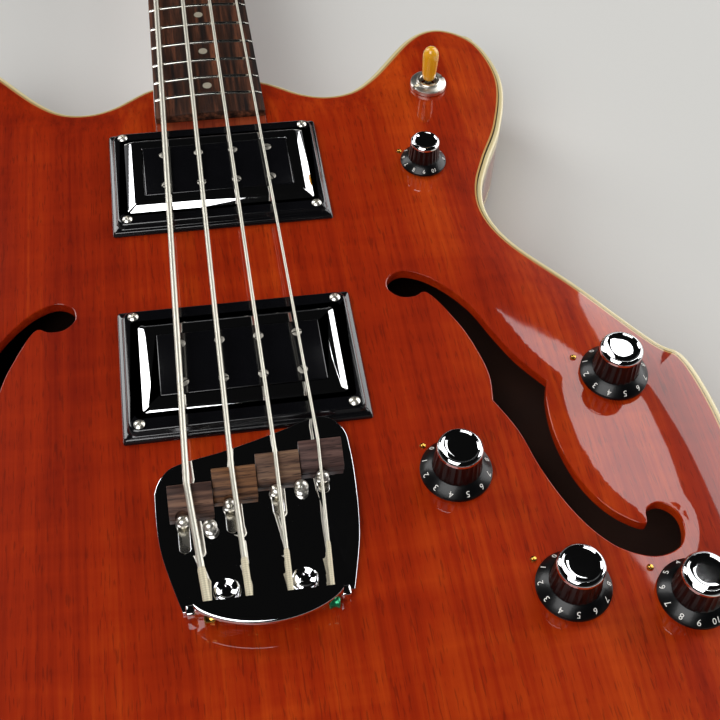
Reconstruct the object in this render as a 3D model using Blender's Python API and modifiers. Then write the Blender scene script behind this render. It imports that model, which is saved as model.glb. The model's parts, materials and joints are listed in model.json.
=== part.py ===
"""Semi-hollow bass guitar, modelled at rest on its back.

Metres, +Z out of the top, +Y from the tail to the headstock, +X to the treble side.
The origin is on the flat of the back, under the end of the string scale.
"""

import math

import bmesh
import bpy
import numpy as np
from mathutils import Matrix, Vector

# Clearances
GAP = 0.0003                # between pieces that touch
PASS = 0.0004               # round a shank or string that passes through a hole
TURN = 0.0003               # round a shaft that turns

# Body
BODY_DEPTH = 0.062          # flat of the back to flat of the top
ARCH = 0.008                # rise of each plate from its rim
ARCH_EDGE = 0.036           # how far in from the rim the edge curve reaches
FLAT_HALF = 0.055           # half width of the flat strip over the centre block
PLATE = 0.005               # thickness of top and back
WALL = 0.006                # side with its lining
BINDING_WIDE = 0.0026
BINDING_TALL = 0.0075
BODY_CENTRE_Y = 0.060       # the point that the plates' rings shrink to
TOP_RINGS = (1.0, 0.935, 0.86, 0.70, 0.26)        # shares of the outline; the last lies on the flat
BACK_RINGS = (1.0, 0.92, 0.76, 0.26)
FACET_SLACK = 0.0004        # room for the flats between those rings
CUT = 0.02                  # how far a cut runs past the wood it opens
LOWER_HALF = 0.210          # half width of the lower bout
LOWER_Y = -0.008            # where the lower bout is widest
TAIL_Y = -0.204
UPPER_HALF = 0.1637
WAIST_HALF = 0.1326
UPPER_OUTLINE = (           # treble half, from the neck round the horn and waist
    (0.0000, 0.2630), (0.0310, 0.2566), (0.0520, 0.2440), (0.0640, 0.2406), (0.0770, 0.2425),
    (0.0890, 0.2514), (0.1165, 0.2830), (0.1265, 0.2897), (0.1365, 0.2912), (0.1480, 0.2860),
    (0.1575, 0.2750), (UPPER_HALF, 0.2428), (0.1540, 0.2040), (0.1420, 0.1795),
    (0.1345, 0.1610), (WAIST_HALF, 0.1470), (0.1348, 0.1345), (0.1415, 0.1205),
    (0.1650, 0.0902), (0.1950, 0.0490),
)
F_HOLE = (                  # treble f-hole: upper lobe, channel with a notch on each edge, lower lobe
    (0.0893, 0.0890), (0.0845, 0.0868), (0.0775, 0.0872), (0.0726, 0.0925), (0.0738, 0.0990),
    (0.0800, 0.1026), (0.0880, 0.1005), (0.0979, 0.0928), (0.1085, 0.0789), (0.1167, 0.0600),
    (0.1239, 0.0453), (0.1340, 0.0312), (0.1313, 0.0220), (0.1302, 0.0030), (0.1339, -0.0180),
    (0.1405, -0.0320), (0.1490, -0.0412), (0.1570, -0.0450), (0.1590, -0.0385),
    (0.1650, -0.0360), (0.1708, -0.0400), (0.1722, -0.0470), (0.1680, -0.0565),
    (0.1570, -0.0600), (0.1435, -0.0550), (0.1344, -0.0456), (0.1267, -0.0320),
    (0.1201, -0.0139), (0.1150, 0.0070), (0.1077, 0.0235), (0.1092, 0.0370),
    (0.1063, 0.0537), (0.1013, 0.0688),
)

# Neck and fingerboard
SCALE = 0.781               # string scale, nut to nominal bridge line
FRETS = 21
FRET_TALL = 0.001
FRET_HALF = 0.0014
BOARD_END_Y = 0.218
BOARD_THICK = 0.0055
BOARD_RADIUS = 0.254        # camber of the playing surface
BOARD_HALF_BODY = 0.0287    # half width at the body end
BOARD_HALF_NUT = 0.0207     # half width at the nut
BOARD_RISE = 0.0070         # its top above the body's top, at the body end
NECK_FALL = 0.014           # fall of the neck towards the nut, per unit of length
NECK_DEEP_NUT = 0.0165      # neck wood under the board, at the nut
NECK_DEEP_BODY = 0.0195
HEEL_DEEP = 0.042
HEEL_SQUARE_Y = 0.262       # the tenon is square up to here
HEEL_CURVE = 0.055          # length of the curve from the heel into the neck
HEAD_STEP = 0.0030          # how far the neck's end tucks under the headstock's face
TENON_Y = 0.2111
NUT_LONG = 0.005
HEAD_TILT = math.radians(10)
HEAD_LONG = 0.185
HEAD_THICK = 0.0145
HEAD_HALF = 0.0378          # half width by the posts and at the crown
HEAD_WAIST = 0.0022         # narrower than that by the far posts
HEAD_CROWN = 0.0060         # depth of the crest at its end
HEAD_ROOT = 0.0040          # how far its blank reaches back under the nut
HEAD_LAP = 0.0006           # its root past the board's edge
ROD_R = 0.0026              # truss rod
ROD_DEEP = 0.0062           # its axis under the board
ROD_CHANNEL = 0.0064        # width of its slot
ROD_NUT_R = 0.0037
ROD_NUT_LONG = 0.0075
ROD_END = 0.0100             # end of the rod past the nut's far face
ROD_START_Y = 0.300
ROD_POCKET_HALF = 0.0060    # the pocket in the headstock's face for its nut
ROD_POCKET_DEEP = 0.0125
ROD_POCKET_SPARE = 0.0060

# Strings, bass to treble
STRING_R = (0.00135, 0.0011, 0.00085, 0.00065)
STRING_NAMES = ("e", "a", "d", "g")
SPACING_BRIDGE = 0.0182
SPACING_NUT = 0.00995
SPACING_TAIL = 0.0158
STRING_SHIFT = -0.0006      # the set lies a little to the bass side at the bridge
STRING_RISE = 0.0150        # string centres above the top, at the bridge
STRING_OVER_NUT = 0.0021    # string centres above the board, at the nut
TAIL_RISE = 0.0076          # string centres above the top, at the tail wall
WRAP = 0.0006               # extra radius of the silk wrap at the tail
BALL_R = 0.0031
TURNS = 2                   # turns of string on each post
TURN_GAP = 0.0005           # between turns

# Pickups
PICKUP_Y = {"neck": 0.1755, "bridge": 0.0560}
COVER_TOP = {"neck": 0.0084, "bridge": 0.0067}   # above the body's top
RING_HALF_Y = {"neck": 0.0350, "bridge": 0.0358}
RING_HALF_X = 0.0535
RING_TALL = 0.0055
RING_STEP = 0.0024
RING_SCREW_X = 0.0460
RING_SCREW_IN = 0.0063      # screw centres in from the ring's long edges
RING_SCREW_R = 0.0026
COVER_HALF_X = 0.0465
COVER_HALF_Y = 0.0252
COVER_SLOPE_X = 0.0066      # bevel of the cover, across
COVER_SLOPE_Y = 0.0040
COVER_SKIN = 0.0012
COVER_CORNER = 0.0018
COVER_DEEP = 0.012          # how far the cover reaches into the body
INSERT_HALF_X = 0.0363
INSERT_HALF_Y = 0.0167
POLE_PITCH = 0.01725
POLE_ROW = 0.01055
POLE_R = 0.0028
CAVITY_DEEP = 0.022
CAVITY_MARGIN = 0.0015

# Bridge, in its own plane, which rises towards the pickups from the plate's back edge
PLATE_METAL = 0.0018
BRIDGE_TILT = math.radians(3.5)
SADDLE_WIDE = 0.0179
SADDLE_DEEP = 0.0118
SADDLE_TALL_BACK = 0.0040
SADDLE_FRONT_Y = (-0.0090, -0.0034, 0.0012, 0.0049)
SADDLE_TRAVEL = 0.003
SLOT_X = -0.0311            # first slot
SLOT_PITCH = 0.0193
SLOT_HALF = 0.0022
SLOT_END_Y = (-0.0356, -0.0292, -0.0235, -0.0163)
SADDLE_SCREW_Y = (-0.0222, -0.0175, -0.0136, -0.0095)
SADDLE_SCREW_R = 0.0028
SADDLE_SCREW_TALL = 0.0034
SHANK_R = 0.0015
HEIGHT_SCREW_XY = ((-0.0207, -0.0264), (0.0175, -0.0138))
HEIGHT_SCREW_R = 0.0029
HEIGHT_SCREW_TALL = 0.0054
STUD_XY = ((-0.0165, -0.0541), (0.0140, -0.0535))
STUD_R = 0.0053
STUD_TALL = 0.0034
POST_SCREW_R = 0.0021       # shanks that go into the block
POST_SCREW_DEEP = 0.020
TAIL_WALL_Y = -0.0610
TAIL_WALL_HALF = 0.0285
TAIL_CENTRE_X = -0.0010
TAIL_TALL = 0.0128
LID_DEEP = 0.0115

# Controls: x, y, and the turn of the knob at rest in numbers on its skirt
KNOB_XY = {
    "master_volume": (0.1053, 0.1752),
    "neck_volume": (0.0833, -0.0110),
    "bridge_volume": (0.1185, -0.0695),
    "neck_tone": (LOWER_HALF - 0.0450, 0.0310),
    "bridge_tone": (LOWER_HALF - 0.0440, -0.0790),
}
KNOB_SHARE = {"master_volume": 0.76}    # of the full size, for the one small knob
KNOB_TALL = 0.0192
KNOB_TOP_R = 0.0092
KNOB_BARREL_R = 0.0105
SKIRT_R = 0.0153
SKIRT_TALL = 0.0016
KNOB_CLEAR = 0.0006         # skirt above the highest wood under it
KNOB_SHAFT_R = 0.0030
POT_R = 0.0120
POT_TALL = 0.0090
BUSH_R = 0.0046
BUSH_NUT_R = 0.0062
BUSH_NUT_TALL = 0.0022
SWITCH_XY = (0.1195, 0.2345)
SWITCH_NUT_R = 0.0098
SWITCH_NUT_TALL = 0.0032
SWITCH_BUSH_R = 0.0056
SWITCH_BORE_R = 0.0042
SWITCH_BODY = (0.0130, 0.0100, 0.0200)
LEVER_R = 0.0017
TIP_R = 0.0047
TIP_BASE_R = 0.0038
TIP_LONG = 0.0200
TIP_RISE = 0.0052           # underside of the tip above the body's top
PIVOT_DEEP = 0.0020         # lever's pivot under the body's top

# Jack and strap buttons
JACK_Y = LOWER_Y - 0.008    # by the widest part of the lower bout, so that it faces +X
JACK_FLANGE_R = 0.0110
JACK_FLANGE = 0.0025
JACK_BUSH_R = 0.0058
JACK_BORE_R = 0.0033
JACK_LIP = 0.0015           # its bush past the flange
JACK_LONG = 0.0260
BUTTON_R = 0.0082
BUTTON_WAIST_R = 0.0042
BUTTON_BASE_R = 0.0070
BUTTON_LONG = 0.0140
BUTTON_SCREW_R = 0.0020
BUTTON_SCREW_LONG = 0.0160
HEEL_BUTTON_Y = 0.2790

# Centre block
BLOCK_HALF = 0.056
BLOCK_TAIL_Y = -0.188
BLOCK_NECK_Y = 0.2335
BLOCK_PROBE = 0.003         # the block's ends also clear the plates this far out

# Tuners, in the headstock's own frame: across, and along from the nut
POST_ACROSS = (-0.0240, -0.0230, 0.0230, 0.0240)
POST_ALONG = (0.0450, HEAD_LONG - 0.0770, HEAD_LONG - 0.0770, 0.0450)
POST_R = 0.0055
POST_TALL = 0.0200          # above the headstock's face
GEAR_R = 0.0090
GEAR_THICK = 0.0045
TUNER_PLATE = 0.0016
TUNER_PLATE_HALF = (0.0110, 0.0190)
WORM_R = 0.0030
WORM_SHAFT_R = 0.0022
EAR_THICK = 0.0030
BUTTON_HALF = 0.0115        # half length of the tuner's paddle
BUTTON_THICK = 0.0050
BUTTON_OUT = 0.0110         # paddle's inner end beyond the headstock's edge

TOP = BODY_DEPTH                      # height of the top's flat
RIM_TOP = TOP - ARCH
RIM_BACK = ARCH
RIM_MIDDLE = (RIM_TOP + RIM_BACK) / 2
NUT_Y = SCALE
PARTS = "semi_hollow_bass"


def srgb(hex_colour):
    """Linear RGBA of a hex colour."""
    channels = [int(hex_colour[i:i + 2], 16) / 255 for i in (0, 2, 4)]
    linear = [c / 12.92 if c <= 0.04045 else ((c + 0.055) / 1.055) ** 2.4 for c in channels]
    return (*linear, 1.0)


def finish(name, hex_colour, rough, metal=0.0):
    material = bpy.data.materials.new(name)
    material.use_nodes = True
    shader = material.node_tree.nodes["Principled BSDF"]
    shader.inputs["Base Color"].default_value = srgb(hex_colour)
    shader.inputs["Roughness"].default_value = rough
    shader.inputs["Metallic"].default_value = metal
    material.diffuse_color = srgb(hex_colour)
    return material


# Scene helpers

def clear_scene():
    for obj in list(bpy.data.objects):
        bpy.data.objects.remove(obj, do_unlink=True)
    for name in (PARTS, "cutters"):
        collection = bpy.data.collections.new(name)
        bpy.context.scene.collection.children.link(collection)


def link(obj, collection=PARTS):
    bpy.data.collections[collection].objects.link(obj)
    return obj


def as_cutter(obj):
    """Moves an object to the cutters, out of the render."""
    for collection in list(obj.users_collection):
        collection.objects.unlink(obj)
    link(obj, "cutters")
    obj.hide_render = True
    obj.display_type = "WIRE"
    return obj


def from_bmesh(name, bm, material=None):
    bmesh.ops.recalc_face_normals(bm, faces=bm.faces)
    mesh = bpy.data.meshes.new(name)
    bm.to_mesh(mesh)
    bm.free()
    mesh.shade_smooth()
    mesh.set_sharp_from_angle(angle=math.radians(35))
    if material:
        mesh.materials.append(material)
    return link(bpy.data.objects.new(name, mesh))


def box(name, low, high, material=None):
    bm = bmesh.new()
    bmesh.ops.create_cube(bm, size=1.0)
    low, high = Vector(low), Vector(high)
    bmesh.ops.scale(bm, vec=high - low, verts=bm.verts)
    bmesh.ops.translate(bm, vec=(low + high) / 2, verts=bm.verts)
    return from_bmesh(name, bm, material)


def cylinder(name, radius, low, high, sides=16, material=None):
    """An upright cylinder on the line x, y of low, between two heights."""
    bm = bmesh.new()
    bmesh.ops.create_cone(bm, cap_ends=True, segments=sides, radius1=radius, radius2=radius,
                          depth=high - low[2])
    bmesh.ops.translate(bm, vec=(low[0], low[1], (low[2] + high) / 2), verts=bm.verts)
    return from_bmesh(name, bm, material)


def prism(name, outline, low, high, material=None):
    """A flat outline in X and Y, raised between two heights."""
    bm = bmesh.new()
    face = bm.faces.new([bm.verts.new((x, y, low)) for x, y in outline])
    raised = bmesh.ops.extrude_face_region(bm, geom=[face])["geom"]
    corners = [item for item in raised if isinstance(item, bmesh.types.BMVert)]
    bmesh.ops.translate(bm, vec=(0, 0, high - low), verts=corners)
    return from_bmesh(name, bm, material)


def loft(name, rings, material=None, closed=False):
    """Skins rings of equally many points; closed joins the last ring to the first."""
    bm = bmesh.new()
    loops = [[bm.verts.new(point) for point in ring] for ring in rings]
    pairs = list(zip(loops, loops[1:]))
    if closed:
        pairs.append((loops[-1], loops[0]))
    for one, other in pairs:
        for i in range(len(one)):
            j = (i + 1) % len(one)
            bm.faces.new((one[i], one[j], other[j], other[i]))
    if not closed:
        bm.faces.new(loops[0])
        bm.faces.new(loops[-1])
    return from_bmesh(name, bm, material)


def turned(name, profile, material, place, steps=16, axis=(0, 0, 1)):
    """A profile of (radius, height) points, from the top down, turned round the axis at a place."""
    mesh = bpy.data.meshes.new(name)
    edges = [(i, i + 1) for i in range(len(profile) - 1)]
    if profile[0][0] > 0:
        edges.append((len(profile) - 1, 0))
    mesh.from_pydata([(r, 0, z) for r, z in profile], edges, [])
    mesh.materials.append(material)
    obj = link(bpy.data.objects.new(name, mesh))
    screw = obj.modifiers.new("Screw", "SCREW")
    screw.steps = steps
    screw.render_steps = steps
    screw.use_merge_vertices = True
    screw.merge_threshold = 0.00001
    obj.location = place
    obj.rotation_euler = Vector(axis).to_track_quat("Z", "Y").to_euler()
    return obj


def boolean(obj, other, operation="DIFFERENCE"):
    as_cutter(other)
    modifier = obj.modifiers.new(operation.title(), "BOOLEAN")
    modifier.operation = operation
    modifier.solver = "EXACT"
    modifier.object = other


def tube(name, points, radii, material):
    """A POLY curve with a round bevel whose radius varies from point to point."""
    curve = bpy.data.curves.new(name, "CURVE")
    curve.dimensions = "3D"
    curve.bevel_depth = 1.0
    curve.bevel_resolution = 1
    curve.use_fill_caps = True
    spline = curve.splines.new("POLY")
    spline.points.add(len(points) - 1)
    for target, point, radius in zip(spline.points, points, radii):
        target.co = (*point, 1.0)
        target.radius = radius
    curve.materials.append(material)
    return link(bpy.data.objects.new(name, curve))


def rounded_rectangle(half_x, half_y, radius, steps=3):
    points = []
    for corner, (sx, sy) in enumerate(((1, 1), (-1, 1), (-1, -1), (1, -1))):
        for k in range(steps):
            angle = math.radians(90 * (corner + k / (steps - 1)))
            points.append((sx * (half_x - radius) + radius * math.cos(angle),
                           sy * (half_y - radius) + radius * math.sin(angle)))
    return points


def smooth_closed(points, spacing, closed=True):
    """Centripetal Catmull-Rom curve through points, about one sample each spacing."""
    pts = [np.array(p, float) for p in points]
    n = len(pts)
    out = []
    for i in range(n if closed else n - 1):
        p0, p1, p2, p3 = (pts[(i + k) % n] if closed else pts[min(max(i + k, 0), n - 1)]
                          for k in (-1, 0, 1, 2))
        count = max(1, round(float(np.linalg.norm(p2 - p1)) / spacing))
        t0 = 0.0
        t1 = t0 + max(np.linalg.norm(p1 - p0), 1e-6) ** 0.5
        t2 = t1 + max(np.linalg.norm(p2 - p1), 1e-6) ** 0.5
        t3 = t2 + max(np.linalg.norm(p3 - p2), 1e-6) ** 0.5
        for k in range(count):
            t = t1 + (t2 - t1) * k / count
            a1 = (t1 - t) / (t1 - t0) * p0 + (t - t0) / (t1 - t0) * p1
            a2 = (t2 - t) / (t2 - t1) * p1 + (t - t1) / (t2 - t1) * p2
            a3 = (t3 - t) / (t3 - t2) * p2 + (t - t2) / (t3 - t2) * p3
            b1 = (t2 - t) / (t2 - t0) * a1 + (t - t0) / (t2 - t0) * a2
            b2 = (t3 - t) / (t3 - t1) * a2 + (t - t1) / (t3 - t1) * a3
            out.append((t2 - t) / (t2 - t1) * b1 + (t - t1) / (t2 - t1) * b2)
    return [tuple(p) for p in out]


# Body outline

def treble_half():
    """The treble half of the outline, from the neck round the horn and waist to the tail."""
    lower = []
    for angle in range(15, -90, -15):
        turn = math.radians(angle)
        lower.append((LOWER_HALF * math.cos(turn),
                      LOWER_Y + (LOWER_Y - TAIL_Y) * math.sin(turn)))
    return list(UPPER_OUTLINE) + lower + [(0.0, TAIL_Y)]


def body_outline(spacing=0.0265):
    half = treble_half()
    bass = [(-x, y) for x, y in reversed(half[1:-1])]
    return smooth_closed(half + bass, spacing)


def inset(outline, distance):
    """The outline moved inwards along its own normals."""
    count = len(outline)
    moved = []
    for i, (x, y) in enumerate(outline):
        before, after = outline[i - 1], outline[(i + 1) % count]
        dx, dy = after[0] - before[0], after[1] - before[1]
        length = math.hypot(dx, dy)
        moved.append((x + distance * dy / length, y - distance * dx / length))
    return moved


OUTLINE = body_outline()
FINE_OUTLINE = np.array(body_outline(0.004))


def arch_share(x, y):
    """Share of the full arch at a point: 0 at the rim, 1 over the flat."""
    reach = float(np.hypot(FINE_OUTLINE[:, 0] - x, FINE_OUTLINE[:, 1] - y).min())
    edge = 1 - max(0.0, 1 - reach / ARCH_EDGE) ** 2.2
    across = 1 - max(0.0, (abs(x) - FLAT_HALF) / (LOWER_HALF - FLAT_HALF)) ** 1.6
    return edge * (0.5 + 0.5 * across)


def top_height(x, y):
    return RIM_TOP + ARCH * arch_share(x, y)


def heights_round(x, y, radius):
    """Heights of the top under a circle, and at its centre."""
    turns = [2 * math.pi * k / 8 for k in range(8)]
    ring = [top_height(x + radius * math.cos(a), y + radius * math.sin(a)) for a in turns]
    return ring + [top_height(x, y)]


def back_height(x, y):
    return RIM_BACK - ARCH * arch_share(x, y)


def jack_place():
    """Where the jack's axis meets the treble rim, at half the rim's height."""
    treble = FINE_OUTLINE[FINE_OUTLINE[:, 0] > 0]
    rim = treble[np.abs(treble[:, 1] - JACK_Y).argmin()]
    return float(rim[0]), JACK_Y, RIM_MIDDLE


# Neck geometry

def board_half(y):
    share = (y - BOARD_END_Y) / (NUT_Y - BOARD_END_Y)
    return BOARD_HALF_BODY + share * (BOARD_HALF_NUT - BOARD_HALF_BODY)


def board_top(y):
    return TOP + BOARD_RISE - NECK_FALL * (y - BOARD_END_Y)


def neck_top(y):
    return board_top(y) - BOARD_THICK - GAP


def fret_y(number):
    return SCALE * 2 ** (-number / 12)


def string_height(y):
    at_nut = board_top(NUT_Y) + STRING_OVER_NUT
    return TOP + STRING_RISE + (at_nut - TOP - STRING_RISE) * y / NUT_Y


def string_x(index, y):
    step = index - 1.5
    at_bridge = step * SPACING_BRIDGE + STRING_SHIFT
    return at_bridge + (step * SPACING_NUT - at_bridge) * y / NUT_Y


# Headstock frame: origin where the face leaves the nut, U along the head, W out of its face
HEAD_Y = NUT_Y + NUT_LONG
HEAD_FRAME = (Matrix.Translation((0, HEAD_Y, neck_top(HEAD_Y) - 0.0005))
              @ Matrix.Rotation(-HEAD_TILT, 4, "X"))


def on_head(across, along, out):
    return HEAD_FRAME @ Vector((across, along, out))


def head_half(along):
    """Half width of the headstock at a distance along it."""
    near, far = POST_ALONG[0], POST_ALONG[1]
    table = ((-HEAD_ROOT, BOARD_HALF_NUT + HEAD_LAP), (0.27 * near, 0.0250), (0.62 * near, 0.0340),
             (near, HEAD_HALF), (far, HEAD_HALF - HEAD_WAIST), (HEAD_LONG - HEAD_CROWN, HEAD_HALF))
    for (a, wa), (b, wb) in zip(table, table[1:]):
        if along <= b:
            return wa + (wb - wa) * max(0.0, (along - a) / (b - a))
    return table[-1][1]


# Body pieces

def arched_plate(name, height, thickness, shares, material):
    """A plate from its rim inwards: rings of the outline that shrink to the body's centre."""
    edge = inset(OUTLINE, BINDING_WIDE + GAP)
    centre = np.array((0.0, BODY_CENTRE_Y))
    rings = [[tuple(centre + share * (np.array(p) - centre)) for p in edge] for share in shares]
    bm = bmesh.new()
    loops = [[bm.verts.new((x, y, height(x, y))) for x, y in ring] for ring in rings]
    for one, other in zip(loops, loops[1:]):
        for i in range(len(one)):
            j = (i + 1) % len(one)
            bm.faces.new((one[i], one[j], other[j], other[i]))
    bm.faces.new(loops[-1])
    raised = bmesh.ops.extrude_face_region(bm, geom=list(bm.faces))["geom"]
    moved = [item for item in raised if isinstance(item, bmesh.types.BMVert)]
    bmesh.ops.translate(bm, vec=(0, 0, thickness), verts=moved)
    return from_bmesh(name, bm, material)


def rim_band(name, section, material):
    """A band round the body: a section of (inset, height) points carried round the outline."""
    around = [inset(OUTLINE, distance) for distance, _ in section]
    rings = []
    for i in range(len(OUTLINE)):
        rings.append([(*around[k][i], section[k][1]) for k in range(len(section))])
    return loft(name, rings, material, closed=True)


def neck_pocket():
    half = BOARD_HALF_BODY + GAP
    return box("neck_pocket", (-half, TENON_Y - GAP, heel_face() - GAP),
               (half, HEEL_BUTTON_Y, TOP + CUT))


def make_body(finishes):
    lacquer, cream = finishes["mahogany"], finishes["cream"]
    top = arched_plate("top_plate", top_height, -PLATE, TOP_RINGS, lacquer)
    arched_plate("back_plate", back_height, PLATE, BACK_RINGS, lacquer)
    low = RIM_BACK + BINDING_TALL + GAP
    high = RIM_TOP - BINDING_TALL - GAP
    inner = BINDING_WIDE + GAP
    sides = rim_band("sides", (
        (0, low), (0, high), (inner, high), (inner, RIM_TOP - PLATE - GAP),
        (WALL, RIM_TOP - PLATE - GAP), (WALL, RIM_BACK + PLATE + GAP),
        (inner, RIM_BACK + PLATE + GAP), (inner, low)), lacquer)
    chamfer = 0.0008
    binding = rim_band("top_binding", (
        (0, RIM_TOP - BINDING_TALL), (0, RIM_TOP - chamfer), (chamfer, RIM_TOP),
        (BINDING_WIDE, RIM_TOP), (BINDING_WIDE, RIM_TOP - BINDING_TALL)), cream)
    rim_band("back_binding", (
        (0, RIM_BACK + chamfer), (0, RIM_BACK + BINDING_TALL),
        (BINDING_WIDE, RIM_BACK + BINDING_TALL), (BINDING_WIDE, RIM_BACK)), cream)
    block = make_block(finishes["maple"])
    pocket = neck_pocket()
    for obj in (top, sides, binding, block):
        boolean(obj, pocket)
    for side in (1, -1):
        hole = [(side * x, y) for x, y in F_HOLE]
        boolean(top, prism("f_hole_cut", hole, RIM_TOP - CUT, TOP + CUT))
    for which, y in PICKUP_Y.items():
        half_x = COVER_HALF_X + CAVITY_MARGIN
        half_y = COVER_HALF_Y + CAVITY_MARGIN
        cavity = box(which + "_cavity", (-half_x, y - half_y, TOP - CAVITY_DEEP),
                     (half_x, y + half_y, TOP + CUT))
        boolean(top, cavity)
        boolean(block, cavity)
    for x, y in HEIGHT_SCREW_XY + STUD_XY:
        shank = on_bridge(cylinder("screw_hole", POST_SCREW_R + PASS,
                                   (x, y, TOP - POST_SCREW_DEEP - GAP), TOP + CUT, 10))
        boolean(top, shank)
        boolean(block, shank)
    for x, y in KNOB_XY.values():
        boolean(top, cylinder("pot_hole", BUSH_R + PASS, (x, y, RIM_TOP - CUT), TOP + CUT, 10))
    x, y = SWITCH_XY
    boolean(top, cylinder("switch_hole", SWITCH_BUSH_R + PASS, (x, y, RIM_TOP - CUT),
                          TOP + CUT, 16))
    for radius, place, outward in ((JACK_BUSH_R + PASS, jack_place(), (1, 0, 0)),
                                   (BUTTON_SCREW_R + PASS, (0, TAIL_Y, RIM_MIDDLE), (0, -1, 0))):
        bore = ((0, CUT), (radius, CUT), (radius, -CUT), (0, -CUT))
        boolean(sides, turned("side_hole", bore, lacquer, place, 12, outward))


def make_block(material):
    """The block from tail to neck, a little under the top and over the back."""
    stations = (BLOCK_TAIL_Y, -0.178, -0.168, -0.10, 0.0, 0.10, 0.196, 0.209, 0.222, BLOCK_NECK_Y)
    rings = []
    for y in stations:
        low_end = -1 if y > 0 else 1
        ring = []
        for x in (-1.0, -0.5, 0.0, 0.5, 1.0):
            spot = (x * BLOCK_HALF, y)
            probe = (spot[0], y - low_end * BLOCK_PROBE)
            under = min(top_height(*spot), top_height(*probe)) - PLATE - GAP - FACET_SLACK
            ring.append((*spot, under))
        for x in (1.0, 0.5, 0.0, -0.5, -1.0):
            spot = (x * BLOCK_HALF, y)
            probe = (spot[0], y - low_end * BLOCK_PROBE)
            over = max(back_height(*spot), back_height(*probe)) + PLATE + GAP + 2 * FACET_SLACK
            ring.append((*spot, over))
        rings.append(ring)
    return loft("centre_block", rings, material)


# Neck pieces

def neck_section(y, deep, square):
    """A D-shaped ring: flat on top, round below; a larger square makes the corners fuller."""
    half = board_half(min(max(y, BOARD_END_Y), NUT_Y))
    points = []
    steps = 8
    for k in range(steps + 1):
        turn = math.pi * k / steps
        cos, sin = math.cos(turn), math.sin(turn)
        x = half * math.copysign(abs(cos) ** (2 / square), cos)
        points.append((x, y, neck_top(y) - deep * abs(sin) ** (2 / square)))
    return points


def make_neck(finishes):
    wood = finishes["mahogany"]
    heel_out = HEEL_BUTTON_Y + BUTTON_BASE_R + 0.002
    stations = [
        (TENON_Y, neck_top(TENON_Y) - heel_face(), 14.0),
        (HEEL_SQUARE_Y, neck_top(HEEL_SQUARE_Y) - heel_face(), 14.0),
        (HEEL_SQUARE_Y + 0.006, neck_top(HEEL_SQUARE_Y + 0.006) - heel_face(), 8.0),
        (heel_out, neck_top(heel_out) - heel_face(), 6.0),
    ]
    for share, full, square in ((0.15, 0.73, 4.5), (0.33, 0.38, 3.4), (0.58, 0.13, 2.6), (1, 0, 2.2)):
        deep = NECK_DEEP_BODY + full * (HEEL_DEEP - NECK_DEEP_BODY)
        stations.append((heel_out + share * HEEL_CURVE, deep, square))
    middle = (heel_out + HEEL_CURVE + NUT_Y) / 2
    stations += [
        (middle, (NECK_DEEP_BODY + NECK_DEEP_NUT) / 2, 2.15),
        (NUT_Y - 0.012, NECK_DEEP_NUT, 2.15), (HEAD_Y, NECK_DEEP_NUT, 2.2),
        (HEAD_Y + 2 * NUT_LONG, NECK_DEEP_NUT, 2.6),
    ]
    rings = [neck_section(*station) for station in stations]
    rings[-1] = [(x, y, z - HEAD_STEP) for x, y, z in rings[-1]]
    neck = loft("neck", rings, wood)
    boolean(neck, headstock_blank(), "UNION")
    slope = math.atan(NECK_FALL)
    channel = box("rod_channel", (-ROD_CHANNEL / 2, 0, -ROD_DEEP - ROD_R - PASS),
                  (ROD_CHANNEL / 2, HEAD_Y - ROD_START_Y + ROD_END + ROD_POCKET_SPARE, CUT))
    channel.location = (0, ROD_START_Y, neck_top(ROD_START_Y))
    channel.rotation_euler = (-slope, 0, 0)
    boolean(neck, channel)
    pocket = box("rod_pocket", (-ROD_POCKET_HALF, 0.0015, -ROD_POCKET_DEEP),
                 (ROD_POCKET_HALF, ROD_END + 2 * ROD_POCKET_SPARE, CUT))
    pocket.matrix_world = HEAD_FRAME @ Matrix.Identity(4)
    boolean(neck, pocket)
    for across, along in zip(POST_ACROSS, POST_ALONG):
        hole = cylinder("post_hole", POST_R + PASS, (0, 0, -HEAD_THICK - CUT), CUT, 12)
        hole.matrix_world = HEAD_FRAME @ Matrix.Translation((across, along, 0))
        boolean(neck, hole)
    screw_reach = BUTTON_SCREW_LONG + GAP
    heel_hole = cylinder("heel_screw_hole", BUTTON_SCREW_R + PASS,
                         (0, HEEL_BUTTON_Y, heel_face() - 0.01), heel_face() + screw_reach, 12)
    boolean(neck, heel_hole)
    make_board(finishes)
    make_nut(finishes["bone"])
    make_truss_rod(finishes["steel"])


def heel_face():
    return neck_top(HEEL_BUTTON_Y) - HEEL_DEEP


def headstock_blank():
    """The headstock as an outline in its own plane, with a shallow crest at the end."""
    near, far, end = POST_ALONG[0], POST_ALONG[1], HEAD_LONG - HEAD_CROWN
    alongs = ((-HEAD_ROOT, 0.09 * near) + tuple(share * near for share in (0.27, 0.44, 0.62, 0.8, 1.0))
              + ((near + far) / 2, far, (far + end) / 2, end))
    right = [(head_half(along), along) for along in alongs]
    crest = [(0.82 * HEAD_HALF, HEAD_LONG - 0.15 * HEAD_CROWN),
             (0.47 * HEAD_HALF, HEAD_LONG - 0.5 * HEAD_CROWN), (0.0, HEAD_LONG)]
    half = right + crest
    outline = half + [(-x, y) for x, y in reversed(half[:-1])]
    blank = prism("headstock_blank", outline, -HEAD_THICK, 0.0)
    blank.matrix_world = HEAD_FRAME
    return blank


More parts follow.
